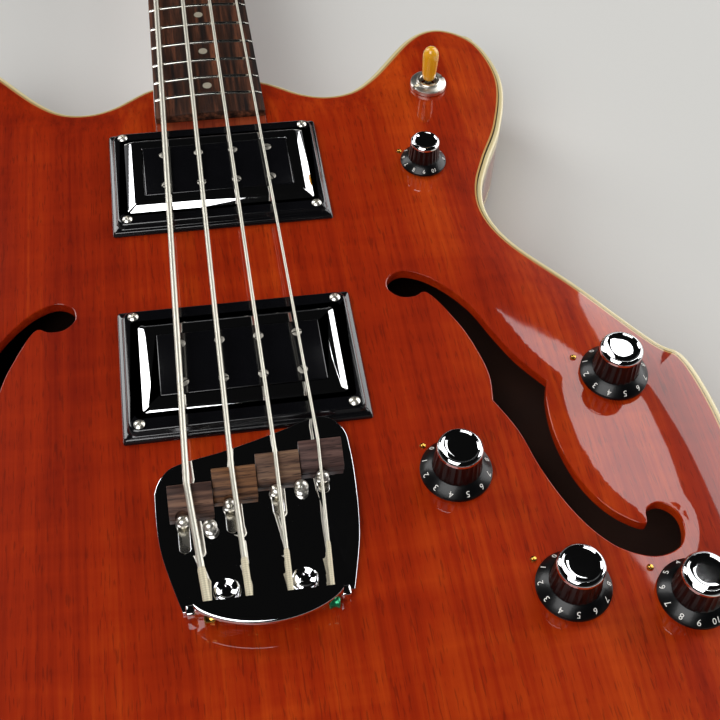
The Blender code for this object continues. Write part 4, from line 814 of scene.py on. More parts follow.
for which, y in PICKUPS.items():
    half_y, crown = RING_HALF_Y[which], TOP_Z + COVER_TOP[which]
    foot = TOP_Z + SEAM

    def at(half_x, half_along, radius, z):
        return [(px, y + py, z) for px, py in rounded_rectangle(half_x, half_along, radius)]

    bm = bmesh.new()
    tiers = ((0, 0, 0.0012), (0.0005, RING_STEP - 0.0005, 0.0012), (0.0009, RING_STEP - 0.0001, 0.0012),
             (0.0019, RING_STEP + 0.0001, 0.0022), (0.0023, RING_STEP + 0.0005, 0.0036),
             (0.0028, RING_TALL - 0.0007, 0.0042), (0.0032, RING_TALL - 0.0002, 0.0044),
             (0.0037, RING_TALL, 0.0044))
    rings = [at(RING_HALF_X - s, half_y - s, r, foot + z) for s, z, r in tiers]
    for grow, z in ((0.0007, RING_TALL), (0.0003, RING_TALL - 0.0003), (0.0003, 0)):
        rings.append(at(COVER_HALF[0] + grow, COVER_HALF[1] + grow, 0.0022, foot + z))
    stack(bm, rings, closed=True)
    piece(which + "_ring_tiers", bm, black, stands_for=[which + "_pickup_ring"], finish="black_plastic")

    shoulder = TOP_Z + RING_TALL - 0.0006
    skin = ((0, 0, TOP_Z - 0.002, 0.0018), (0, 0, shoulder - 0.0002, 0.0018), (0.0002, 0.0002, shoulder, 0.0018),
            (COVER_SLOPE[0] - 0.0004, COVER_SLOPE[1] - 0.0004, crown - 0.0002, 0.0016),
            (COVER_SLOPE[0], COVER_SLOPE[1], crown, 0.0014))
    bm = bmesh.new()
    rings = [at(COVER_HALF[0] - sx, COVER_HALF[1] - sy, r, z) for sx, sy, z, r in skin]
    for grow, z in ((0.00035, crown), (0.0003, crown - 0.00005), (0.0003, crown - 0.003)):
        rings.append(at(INSERT_HALF[0] + grow, INSERT_HALF[1] + grow, 0.0009, z))
    stack(bm, rings, closed=True)
    piece(which + "_cover_shell", bm, chrome, stands_for=[which + "_pickup_cover"], finish="chrome")

    bm = bmesh.new()
    rounded_bar(bm, (-INSERT_HALF[0], y - INSERT_HALF[1], crown - 0.008),
                (INSERT_HALF[0], y + INSERT_HALF[1], crown + 0.0004), 0.0005, 3)
    piece(which + "_insert", bm, black, stands_for=[which + "_pickup_coil"], finish="black_plastic")

    places = [((column - 1.5) * POLE_PITCH, y + row * POLE_ROW, crown) for column in range(4) for row in (-1, 1)]
    bm = bmesh.new()
    for place in places:
        lathe(bm, ((0, 0.0008), (0.35 * POLE_R, 0.00076), (0.75 * POLE_R, 0.0005), (POLE_R, 0), (POLE_R, -0.002),
                   (0, -0.002)), 28, place)
    poles = to_object(which + "_pole_screws", bm, pole_metal)
    slotted(poles, places, 0.0003, 0.0002, 0.0035, [0.5 + 1.3 * k for k in range(8)])
    dress(poles)

    places = [(sx * RING_SCREW_X, y + sy * (half_y - RING_SCREW_IN), foot + RING_TALL)
              for sx in (-1, 1) for sy in (-1, 1)]
    bm = bmesh.new()
    for place in places:
        lathe(bm, mm(0, 1.2, 0.8, 1.12, 1.8, 0.7, 2.4, 0.1, 2.4, -1, 0, -1), 28, place)
    screws = to_object(which + "_ring_screws", bm, bright)
    slotted(screws, places, 0.00025, 0.0004, 0.0014, [0.4 + 0.9 * k for k in range(4)], crossed=True)
    dress(screws)
print("pickups made")

# %% [markdown]
# ## The bridge
# The plate is cut from thick brass, polished and plated. Its edges are eased, so each one carries a thin bright
# line. All of it is built level and then tipped up towards the pickups by a few degrees, as the height screws
# hold it.

# %% Bridge plate and lid
PLATE_METAL = 0.0018
PLATE_LOW, PLATE_HIGH = TOP_Z + SEAM, TOP_Z + SEAM + PLATE_METAL
SLOT_X = [-0.0311 + 0.0193 * k for k in range(4)]
SLOT_ENDS = (-0.0356, -0.0292, -0.0235, -0.0163)
SADDLE_SCREW_Y = (-0.0222, -0.0175, -0.0136, -0.0095)
SADDLE_FRONT = (-0.0090, -0.0034, 0.0012, 0.0049)
TAIL_WALL_Y, TAIL_X, TAIL_HALF, TAIL_TALL, LID_DEEP = -0.0610, -0.0010, 0.0285, 0.0128, 0.0115
STRINGS = ("e", "a", "d", "g")
STRING_R = (0.00135, 0.0011, 0.00085, 0.00065)
PLATE_FRONT = mm(-41.7, -8, -39.8, -2.8, -35.5, 2.4, -30, 4.7, -10.9, 8.6, 12.2, 15, 21.1, 18, 26.2, 19.4,
                 30.1, 19.8, 33.2, 19, 36, 16.8, 39.3, 11.5, 40.3, 2.4, 40.2, -13.7, 38.3, -36, 32.7, -59.3)
PLATE_BACK = mm(-34, -60.2, -37.5, -48, -40.5, -35, -41.7, -23.5, -41.7, -8)


def ease_level(target, level, width, segments=3, behind=1.0):
    """Eases each edge of a piece that lies on one level, behind some y, and turns down steeply."""
    bm = bmesh.new()
    bm.from_mesh(target.data)
    bmesh.ops.remove_doubles(bm, verts=bm.verts, dist=1e-6)
    chosen = [e for e in bm.edges if len(e.link_faces) == 2 and e.calc_face_angle(0) > 1.0
              and all(abs(v.co.z - level) < 2e-6 and v.co.y < behind for v in e.verts)]
    ease_edges(bm, chosen, width, segments)
    bm.to_mesh(target.data)
    bm.free()
    return target


def settle(target, frame_of, sharp=50):
    """Smooths a level piece and moves it into its tilted frame."""
    target.data.shade_smooth()
    target.data.set_sharp_from_angle(angle=math.radians(sharp))
    target.data.transform(frame_of)


def slot_outline(x, low_y, high_y, half):
    turns = [math.pi * k / 10 for k in range(21)]
    return [(x + half * math.cos(a), (high_y - half if a <= math.pi else low_y + half) + half * math.sin(a))
            for a in turns[:-1]]


bm = bmesh.new()
outline = smooth_curve(PLATE_FRONT, 0.0015, closed=False)[:-1] + smooth_curve(
    (PLATE_FRONT[-1], PLATE_BACK[0]), 0.01, closed=False)[:-1] + smooth_curve(PLATE_BACK, 0.0015, closed=False)[:-1]
slab(bm, outline, PLATE_LOW, PLATE_HIGH)
plate = to_object("bridge_harp", bm)
cutters = []
for k, x in enumerate(SLOT_X):
    bm = bmesh.new()
    slab(bm, slot_outline(x, SLOT_ENDS[k], SADDLE_SCREW_Y[k] + 0.0049, 0.0022), 0.055, 0.075)
    cutters.append(to_object("saddle_slot", bm))
carve(plate, cutters)
ease_level(plate, PLATE_HIGH, 0.0005)
settle(plate, BRIDGE_FRAME)
plate.data.materials.append(chrome)
dress(plate, stands_for=["bridge_plate"])

# Painted shade and reflection: a satin sheet just under the plate makes the saddle slots look grey and dim in place
# of the red top under them.
bm = bmesh.new()
for k, x in enumerate(SLOT_X):
    slab(bm, slot_outline(x, SLOT_ENDS[k] - 0.0005, SADDLE_SCREW_Y[k] + 0.0054, 0.0027),
         PLATE_LOW - 0.00025, PLATE_LOW - 0.00005)
framed(bm, BRIDGE_FRAME)
piece("slot_painted_shade_sheet", bm, satin)

lid_low, lid_high = TOP_Z + TAIL_TALL - PLATE_METAL, TOP_Z + TAIL_TALL
bulge = [(TAIL_X + s * TAIL_HALF, TAIL_WALL_Y - PLATE_METAL - (LID_DEEP - PLATE_METAL) * (1 - s * s) ** 0.8)
         for s in (-1 + 2 * k / 40 for k in range(41))]
bm = bmesh.new()
slab(bm, bulge + [(TAIL_X + TAIL_HALF, TAIL_WALL_Y), (TAIL_X - TAIL_HALF, TAIL_WALL_Y)], lid_low, lid_high)
lid = ease_level(to_object("bridge_lid", bm), lid_high, 0.0016, 6, behind=TAIL_WALL_Y - 0.0001)
settle(lid, BRIDGE_FRAME)
lid.data.materials.append(chrome)
dress(lid)

bm = bmesh.new()
rounded_bar(bm, (TAIL_X - TAIL_HALF, TAIL_WALL_Y - PLATE_METAL, PLATE_LOW + 0.0001),
            (TAIL_X + TAIL_HALF, TAIL_WALL_Y, lid_low + 0.0003), 0.0004)
for side in (-1, 1):
    x = TAIL_X + side * (TAIL_HALF + 0.0012)
    rounded_bar(bm, (x - 0.0021, TAIL_WALL_Y - PLATE_METAL - 0.0006, PLATE_LOW + 0.0001),
                (x + 0.0021, TAIL_WALL_Y + 0.0020, PLATE_HIGH + 0.0048), 0.0010, 4)
framed(bm, BRIDGE_FRAME)
piece("bridge_tail_wall", bm, chrome, finish="chrome")

# %% [markdown]
# ## Saddles and the bridge's screws
# Four rosewood blocks carry the strings. Each stands on the plate, low at the back and highest just behind its
# front edge, and is clamped by a screw that runs in a slot. The string has worn a small groove in its crest.

# %% Saddles and screws
SCALE = 0.781                           # saddle line to nut
SPACING_BRIDGE, SPACING_NUT = 0.0182, 0.00995
STRING_HIGH = (0.077, 0.063218)         # height of the strings over the saddle line and at the nut


def crest_of(index):
    """The place where a string rests on its saddle."""
    y = (BRIDGE_FRAME @ Vector((0, SADDLE_FRONT[index], TOP_Z + 0.010))).y - 0.0012
    return Vector((string_x(index, y), y, string_z(y) - STRING_R[index] - SEAM))


def string_x(index, y):
    step = index - 1.5
    start = SPACING_BRIDGE * step - 0.0006
    return start + (SPACING_NUT * step - start) * y / SCALE


def string_z(y):
    return STRING_HIGH[0] + (STRING_HIGH[1] - STRING_HIGH[0]) * y / SCALE


BACK_TO_LEVEL = BRIDGE_FRAME.inverted()
for index, name in enumerate(STRINGS):
    front, base = SADDLE_FRONT[index], PLATE_HIGH + SEAM
    crest = (BACK_TO_LEVEL @ crest_of(index)).z
    profile = ((front, base), (front, crest - 0.0006), (front - 0.0006, crest), (front - 0.0020, crest - 0.0001),
               (front - 0.0110, base + 0.0040), (front - 0.0118, base + 0.0032), (front - 0.0118, base))
    middle, half = SPACING_BRIDGE * (index - 1.5), 0.00895
    bm = bmesh.new()
    stack(bm, [[(middle + side * half, py, pz) for py, pz in profile] for side in (-1, 1)])
    ease_edges(bm, [e for e in bm.edges if any(v.co.z > base + 1e-5 for v in e.verts)], 0.00025, 2)
    saddle = to_object("saddle_block_" + name, bm, saddle_woods[index])
    x, y = SLOT_X[index], SADDLE_SCREW_Y[index]
    rest = BACK_TO_LEVEL @ crest_of(index)
    carve(saddle, [drill((x, y, base), 0.0032, 0.01, 0.02),
                   drill((rest.x, rest.y, rest.z + 0.85 * STRING_R[index]), STRING_R[index] + 0.0001, 0.02, 0.02,
                         (0, 1, 0.02), 16)])
    saddle.data.transform(BRIDGE_FRAME)
    dress(saddle, "saddle_" + name, ["saddle_" + name])


def bridge_screw(name, body, stands_for, x, y, base, profile, slot):
    """A turned screw head on the plate; slot is its half width, floor, reach, angle and whether it is crossed."""
    bm = bmesh.new()
    lathe(bm, profile, 40, (x, y, base))
    head = to_object(name, bm, chrome if body == "root" else bright)
    half_wide, from_plate, reach, angle, crossed = slot
    slotted(head, [(x, y, base)], half_wide, from_plate, reach, [angle], crossed)
    head.data.transform(BRIDGE_FRAME)
    dress(head, body, stands_for)


for index, name in enumerate(STRINGS):
    bridge_screw("saddle_clamp_" + name, "saddle_" + name, ["saddle_screw_" + name], SLOT_X[index],
                 SADDLE_SCREW_Y[index], PLATE_HIGH + SEAM,
                 mm(0, 3.4, 1, 3.3, 1.9, 2.9, 2.5, 2.2, 2.8, 1.3, 2.8, 0.2, 2.6, 0, 1.4, 0, 1.4, -2, 0, -2),
                 (0.0003, 0.0022, 0.0040, 0.5 + index, False))
for side, (x, y) in HEIGHT_SCREWS.items():
    bridge_screw(side + "_height_dome", side + "_height_screw", [side + "_height_screw"], x, y, PLATE_HIGH + SEAM,
                 mm(0, 5.4, 0.8, 5.3, 1.6, 5, 2.2, 4.5, 2.7, 3.7, 2.9, 2.7, 2.9, 0.4, 2.6, 0,
                    1.8, 0, 1.8, -18, 0, -18),
                 (0.00035, 0.0040, 0.0045, 0.3 if side == "bass" else 1.2, False))
for side, (x, y) in STUDS.items():
    bridge_screw(side + "_mounting_dish", "root", [side + "_mounting_screw"], x, y, PLATE_HIGH + SEAM,
                 mm(0, 2.2, 1.2, 2.2, 2.8, 2.5, 3.6, 3.2, 4.1, 3.4, 4.7, 3.2, 5.2, 2.4, 5.3, 1.4, 5.3, 0.3, 5, 0,
                    2, 0, 2, -18, 0, -18), (0.00045, 0.0014, 0.0021, 0.4, True))

# %% [markdown]
# ## The strings
# Each string comes through the tail wall, thick with its silk, narrows halfway to the saddle, breaks over it
# and runs straight to the nut and round its post. The ball ends that the lid leaves in sight are brass and
# green.

# %% Strings
HEAD_TILT = math.radians(10)
NUT_Y, HEAD_Y = SCALE, 0.786
HEAD_FRAME = (Matrix.Translation((0, HEAD_Y, 0.054748)) @ Matrix.Rotation(-HEAD_TILT, 4, "X"))
POSTS = mm(-24, 45, -23, 108, 23, 108, 24, 45)
POST_R = 0.0055


def coil_path(index, start):
    """Two turns round the post from the tangent on its inner side."""
    radius = STRING_R[index]
    coil = POST_R + 0.0006 + radius
    centre, flat = Vector(POSTS[index]), (HEAD_FRAME.inverted() @ start).xy
    inner = 1 if centre.x < 0 else -1
    offset = centre - flat
    heading = math.atan2(offset.y, offset.x) - inner * math.asin(coil / offset.length)
    reach = math.sqrt(offset.length ** 2 - coil ** 2)
    touch = flat + reach * Vector((math.cos(heading), math.sin(heading)))
    first = math.atan2(touch.y - centre.y, touch.x - centre.x)
    steps = 32
    return [HEAD_FRAME @ Vector((centre.x + coil * math.cos(first + inner * 2 * math.pi * k / steps),
                                 centre.y + coil * math.sin(first + inner * 2 * math.pi * k / steps),
                                 0.0085 + (2 * radius + 0.0005) * k / steps)) for k in range(2 * steps + 1)]


for index, name in enumerate(STRINGS):
    radius = STRING_R[index]
    tail_x, tail_z = 0.0158 * (index - 1.5) - 0.0002, TOP_Z + 0.0076
    behind = TAIL_WALL_Y - PLATE_METAL - SEAM
    start = BRIDGE_FRAME @ Vector((tail_x, behind - 0.0010, tail_z))
    over = crest_of(index) + Vector((0, 0, radius + SEAM))
    nut_point = Vector((string_x(index, NUT_Y), NUT_Y, string_z(NUT_Y)))
    bm = bmesh.new()
    wrap_end = start.lerp(over, 0.34)
    sweep(bm, [start, start.lerp(over, 0.31), start.lerp(over, 0.33), wrap_end, start.lerp(over, 0.345)],
          [radius + 0.0003, radius + 0.0003, radius + 0.00025, radius + 0.0001, radius - 0.0002], 18)
    piece("silk_" + name, bm, silk_skin, finish="strings")
    incoming, outgoing = (over - wrap_end).normalized(), (nut_point - over).normalized()
    path = [wrap_end - 0.002 * incoming, over - 0.003 * incoming, over - 0.0012 * incoming,
            over - Vector((0, 0, 0.00006)), over + 0.0012 * outgoing, nut_point]
    leaving = Vector((nut_point.x, NUT_Y + 0.005, nut_point.z - 0.00007))
    path += [leaving] + coil_path(index, leaving)
    bm = bmesh.new()
    sweep(bm, path, [radius] * len(path), 16)
    piece("winding_" + name, bm, string_skin, stands_for=["string_" + name], finish="strings")
    ball = min(0.0031, radius + 0.0018)
    turned("ball_end_" + name, green if name == "g" else brass,
           ((0.0008, -0.0021), (ball - 0.0004, -0.0021), (ball, -0.0016), (ball - 0.0005, -0.0006),
            (ball - 0.0005, 0.0006), (ball, 0.0016), (ball - 0.0004, 0.0021), (0.0008, 0.0021), (0.0008, -0.0021)),
           28, BRIDGE_FRAME @ Vector((tail_x, behind - 0.0029, tail_z)), (1, 0, 0))

# %% [markdown]
# ## Controls
# Five knobs of moulded black plastic: a fluted barrel on a wide cone, numbered from 0 to 10, with a dished
# metal cap. A small brass pin in the top, beside each knob, shows the reading. The numbers are printed flat, so
# each is bent round the cone here before it is laid on.

# %% Knobs
PIN_PLACES = {"master_volume": (0.0943, 0.1842), "neck_volume": (0.0719, 0.0033), "bridge_volume": (0.1058, -0.0555),
              "neck_tone": (0.1493, 0.0423), "bridge_tone": (0.1520, -0.0650)}
READINGS = {"master_volume": 5.0, "neck_volume": 0.0, "bridge_volume": 0.7, "neck_tone": 0.7, "bridge_tone": 5.0}
KNOB_TALL, SKIRT_R = 0.0192, 0.0153
SHARES = {"master_volume": 0.76}      # one knob is a smaller size
CONE_LOW, CONE_HIGH = (0.0151, 0.0016), (0.0119, 0.0042)     # radius and height of the cone's two edges
FLUTES = 24
STEP_ANGLE = math.radians(30)         # from one number to the next


def fluted_ring(radius, height, depth, steps=FLUTES * 8):
    turns = [2 * math.pi * k / steps for k in range(steps)]
    return [((radius - depth * abs(math.sin(FLUTES * a / 2))) * math.cos(a),
             (radius - depth * abs(math.sin(FLUTES * a / 2))) * math.sin(a), height) for a in turns]


def printed(text, size):
    """A number as a thin flat mesh of (along, up) points about its own middle."""
    curve = bpy.data.curves.new("number", "FONT")
    curve.body, curve.size, curve.align_x, curve.align_y = text, size, "CENTER", "CENTER"
    curve.extrude, curve.resolution_u = 0.00002, 3
    holder = bpy.data.objects.new("number", curve)
    bpy.context.scene.collection.objects.link(holder)
    mesh = bpy.data.meshes.new_from_object(holder.evaluated_get(bpy.context.evaluated_depsgraph_get()))
    bpy.data.objects.remove(holder)
    return mesh


def lay_on_cone(bm, mesh, turn):
    """Bends a flat number round the cone at one angle, its top towards the cone's lower edge."""
    slope = (Vector(CONE_LOW) - Vector(CONE_HIGH)).normalized()
    outward = Vector((-slope.y, slope.x))
    middle = (Vector(CONE_LOW) + Vector(CONE_HIGH)) / 2
    start = len(bm.verts)
    bm.from_mesh(mesh)
    bm.verts.ensure_lookup_table()
    for v in bm.verts[start:]:
        point = middle + v.co.y * slope + (v.co.z + 0.00004) * outward
        angle = turn - v.co.x / point.x
        v.co = (point.x * math.cos(angle), point.x * math.sin(angle), point.y)


digits = [printed(str(number), 0.0037) for number in range(11)]
for name, (x, y) in KNOBS.items():
    share = SHARES.get(name, 1.0)
    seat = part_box("knob_" + name)[1].z - share * KNOB_TALL
    pin = Vector(PIN_PLACES[name])
    pointing = math.atan2(pin.y - y, pin.x - x)
    zero = pointing - READINGS[name] * STEP_ANGLE
    bm = bmesh.new()
    lathe(bm, ((0.0040, 0.0015), (0.0130, 0.0003), (0.0137, 0), (0.0150, 0), (SKIRT_R, 0.0003),
               (SKIRT_R, 0.0013), CONE_LOW, CONE_HIGH, (0.0113, 0.0046), (0.0106, 0.0050)), 96)
    shift = Matrix.Translation((x, y, seat)) @ Matrix.Rotation(zero, 4, "Z") @ Matrix.Scale(share, 4)
    heights = ((0.0107, 0.0047, 0), (0.0105, 0.0052, 0.0002), (0.0103, 0.0065, 0.0004), (0.0098, 0.0125, 0.0004),
               (0.0095, 0.0158, 0.0003), (0.0094, 0.0166, 0.0001), (0.0090, 0.0170, 0))
    stack(bm, [fluted_ring(*level) for level in heights])
    framed(bm, shift)
    piece("knob_skirt_" + name, bm, knob_black, "knob_" + name, ["knob_" + name], "black_plastic", sharp=40)
    turned("knob_cap_" + name, chrome,
           mm(0, 18.5, 4.5, 18.4, 7, 18.5, 7.5, 18.8, 7.8, 19.1, 8.1, 19.2, 8.4, 19.1, 9.4, 18.1, 9.6, 17.7,
              9.6, 16.6, 9.2, 16.4, 0, 16.4), 96, frame_of=shift, body="knob_" + name, sharp=50)
    bm = bmesh.new()
    for number, mesh in enumerate(digits):
        lay_on_cone(bm, mesh, number * STEP_ANGLE)
    framed(bm, shift)
    piece("knob_numbers_" + name, bm, white_paint, "knob_" + name)
    turned("pointer_pin_" + name, brass, mm(0.3, 0.6, 0.8, 0.9, 1.2, 0.8, 1.5, 0.2, 1.5, -1, 0.3, -1, 0.3, 0.6),
           28, (pin.x, pin.y, top_height(*pin)))

# %% [markdown]
# ## The switch
# A toggle stands in a low round nut with two spanner slots, and ends in an amber tip.

# %% Switch
SWITCH_SEAT = 0.06146
bm = bmesh.new()
lathe(bm, mm(4.4, 1, 4.4, 3.6, 4.7, 4, 5.8, 4, 6.2, 3.6, 6.4, 2.9, 6.8, 2.6, 8.8, 2.5, 9.6, 2, 9.8, 1.3, 9.8, 0,
             4.4, 0, 4.4, 1), 64, (*SWITCH, SWITCH_SEAT))
nut_piece = to_object("switch_nut", bm, bright)
slotted(nut_piece, [(SWITCH[0] + 0.0085 * c, SWITCH[1] + 0.0085 * s, SWITCH_SEAT) for c, s in
                    ((math.cos(a), math.sin(a)) for a in (0.4, 0.4 + math.pi))], 0.0009, 0.0015, 0.0022,
        [0.4, 0.4 + math.pi])
dress(nut_piece, stands_for=["switch_body"])
turned("switch_tip", amber,
       mm(0, 25.2, 1.2, 25.05, 2.3, 24.4, 3.3, 23.3, 4, 21.8, 4.3, 20, 4.2, 15.2, 3.8, 8.2,
          3.5, 5.8, 3.2, 5.2, 0, 5.2),
       48, (*SWITCH, SWITCH_SEAT), body="switch_lever", stands_for=["switch_lever"], finish="amber_plastic")
turned("switch_ball", satin, mm(0, 6.2, 1.7, 6.2, 1.7, 1.2, 3, 0.4, 3.9, -1.2, 3, -4, 0, -4.5), 40,
       (*SWITCH, SWITCH_SEAT), body="switch_lever")
print("controls made")

# %% [markdown]
# ## Fingerboard, frets and nut
# The board's face is a slice of a wide cylinder. Frets are half-round wire over a thin tang, and their spacing
# follows the twelfth root of two. Round pearl dots mark the usual places.

# %% Fingerboard, frets and nut
BOARD_END, BOARD_THICK, BOARD_RADIUS = 0.218, 0.0055, 0.254
BOARD_HALF = (0.0287, 0.0207)       # half width at the body end and at the nut
DOT_FRETS = (3, 5, 7, 9, 12, 15, 17, 19, 21)


def board_half(y):
    return BOARD_HALF[0] + (BOARD_HALF[1] - BOARD_HALF[0]) * (y - BOARD_END) / (NUT_Y - BOARD_END)


def board_top(y):
    return TOP_Z + 0.0070 - 0.014 * (y - BOARD_END)


def camber(x):
    return BOARD_RADIUS - math.sqrt(BOARD_RADIUS ** 2 - x * x)


def fret_y(number):
    return NUT_Y * 2 ** (-number / 12)


def board_ring(y, shrink=0.0, drop=0.0):
    half, high = board_half(y) - shrink, board_top(y)
    arc = [half * (1 - 2 * k / 24) for k in range(25)]
    skirt = camber(half) + 0.0006
    return ([(x, y, high - drop - camber(x)) for x in arc[1:-1]]
            + [(-half, y, high - skirt), (-half, y, high - BOARD_THICK), (half, y, high - BOARD_THICK),
               (half, y, high - skirt)])


bm = bmesh.new()
stack(bm, [board_ring(BOARD_END, 0.0005, 0.0005), board_ring(BOARD_END + 0.0005)]
      + [board_ring(BOARD_END + 0.0005 + (NUT_Y - 0.001 - BOARD_END) * k / 24) for k in range(1, 25)])
piece("board_camber", bm, board_wood, stands_for=["fingerboard"], finish="rosewood", sharp=50)

bm = bmesh.new()
for number in range(1, 22):
    y = fret_y(number)
    half = board_half(y) - 0.0003
    arc = [half * (1 - 2 * k / 16) for k in range(17)]
    bead = [(math.cos(a), math.sin(a)) for a in (math.pi * k / 8 for k in range(9))]
    rings = []
    for x in arc:
        taper = min(1.0, 0.35 + (half - abs(x)) / 0.0015)
        base_z = board_top(y) - camber(x) - 0.0004
        rings.append([(x, y + 0.0011 * c, base_z + 0.0013 * s * taper) for c, s in bead])
    stack(bm, rings)
piece("frets", bm, fret_metal, sharp=50)

bm = bmesh.new()
for number in DOT_FRETS:
    y = (fret_y(number) + fret_y(number - 1)) / 2
    for x in ((-0.0105, 0.0105) if number == 12 else (0.0,)):
        lathe(bm, mm(0, 0.06, 2.4, 0.06, 2.4, -1, 0, -1), 32, (x, y, board_top(y) - camber(x)))
piece("position_dots", bm, pearl)

bm = bmesh.new()
half = BOARD_HALF[1] - 0.0003
top_of_nut = string_z(NUT_Y) + 0.0006
stack(bm, [[(x, NUT_Y + 0.0003, board_top(NUT_Y) - BOARD_THICK), (x, NUT_Y + 0.0003, top_of_nut - 0.0003),
            (x, NUT_Y + 0.0007, top_of_nut), (x, NUT_Y + 0.0030, top_of_nut - 0.0003),
            (x, NUT_Y + 0.0048, top_of_nut - 0.0018), (x, NUT_Y + 0.0048, board_top(NUT_Y) - BOARD_THICK)]
           for x in (-half, half)])
nut_block = to_object("nut_block", bm, bone)
carve(nut_block, [drill((string_x(k, NUT_Y + 0.0025), NUT_Y + 0.0025, string_z(NUT_Y) + 0.3 * STRING_R[k]),
                        STRING_R[k] + 0.0002, 0.01, 0.01, (0, 1, -0.014), 20) for k in range(4)])
dress(nut_block, stands_for=["nut"])

# %% [markdown]
# ## Neck and headstock
# The neck's section turns from a square heel in its pocket to a slim oval, and swells again where it meets the
# head. The head leans back by ten degrees. Its face carries a black veneer and a plain plastic cover over the
# rod's pocket.

# %% Neck and headstock
NECK_STATIONS = (       # y, depth under the board, squareness
    (0.2111, 0.0428, 14.0), (0.262, 0.0421, 14.0), (0.268, 0.0420, 8.0), (0.288, 0.0417, 6.0), (0.296, 0.0362, 4.5),
    (0.306, 0.0283, 3.4), (0.320, 0.0226, 2.6), (0.343, 0.0195, 2.2), (0.42, 0.0190, 2.15), (0.58, 0.0178, 2.15),
    (0.72, 0.0167, 2.15), (0.769, 0.0165, 2.15), (0.786, 0.0170, 2.2), (0.796, 0.0170, 2.6))


def neck_ring(y, deep, square):
    half, high = board_half(min(y, NUT_Y)), board_top(y) - BOARD_THICK - SEAM - max(0.0, y - 0.786) * 0.3
    power = 2 / square
    under = [math.pi * k / 36 for k in range(1, 36)]
    ease = 0.0005
    shoulder = [(half - ease, y, high), (half - 0.3 * ease, y, high - 0.3 * ease), (half, y, high - ease)]
    return (shoulder + [(half * math.copysign(abs(math.cos(a)) ** power, math.cos(a)), y,
                         high - ease - (deep - ease) * math.sin(a) ** power) for a in under]
            + [(-x, y, z) for x, y, z in reversed(shoulder)])


bm = bmesh.new()
scaled = [(y, deep, square / 1000) for y, deep, square in NECK_STATIONS]
stack(bm, [neck_ring(y, deep, square * 1000) for y, deep, square in smooth_curve(scaled, 0.006, closed=False)])
piece("neck_shaft", bm, neck_wood, stands_for=["neck"], finish="mahogany", sharp=50)

HEAD_THICK, VENEER_THICK = 0.0145, 0.0009
HEAD_EDGE = mm(21.3, -4, 22.6, 4, 25, 12, 34, 28, 37.8, 45, 36.6, 76.5, 35.6, 108, 36.7, 143.5, 37.8, 179,
               31, 184.1, 17.8, 182, 0, 185)
right_edge = smooth_curve(HEAD_EDGE, 0.003, closed=False)
head_outline = right_edge + [(-x, u) for x, u in reversed(right_edge[:-1])]
for name, low, high, look_of, easing in (
        ("head_core", -HEAD_THICK, -VENEER_THICK, neck_wood, (-HEAD_THICK, 0.0016, 4)),
        ("head_face", -VENEER_THICK, 0.0, veneer, (0.0, 0.0005))):
    bm = bmesh.new()
    slab(bm, head_outline, low, high)
    layer = ease_level(to_object(name, bm, look_of), *easing)
    settle(layer, HEAD_FRAME)
    dress(layer)

bm = bmesh.new()
bell = smooth_curve(mm(0, 56, 5, 52, 7.5, 40, 11, 28, 14.5, 16, 15, 10.5), 0.0015, closed=False)
slab(bm, bell + [(-x, u) for x, u in reversed(bell[1:])], 0.0002, 0.0020)
cover = ease_level(to_object("rod_cover", bm, black), 0.0020, 0.0004)
cover.data.transform(HEAD_FRAME)
dress(cover)
bm = bmesh.new()
for x, u in mm(0, 50, -11, 14.5, 11, 14.5):
    lathe(bm, mm(0, 2.9, 0.9, 2.8, 1.6, 2.4, 2, 2, 2, 0.5, 0, 0.5), 24, (x, u, 0))
framed(bm, HEAD_FRAME)
piece("rod_cover_screws", bm, chrome)
print("neck and headstock made")

# %% [markdown]
# ## Tuners
# On each tuner the paddle turns a worm, and the worm turns a gear on the post. The post has a slot across its
# end for the string.

# %% Tuners
PLATE_BACK_FACE = -HEAD_THICK - SEAM
WORM_OUT = PLATE_BACK_FACE - 0.0016 - SEAM - 0.0030
TEETH = 20


def gear_ring(radius, height, depth):
    turns = [2 * math.pi * k / (TEETH * 6) for k in range(TEETH * 6)]
    return [((radius - depth * (0.5 + 0.5 * math.cos(TEETH * a))) * math.cos(a),
             (radius - depth * (0.5 + 0.5 * math.cos(TEETH * a))) * math.sin(a), height) for a in turns]


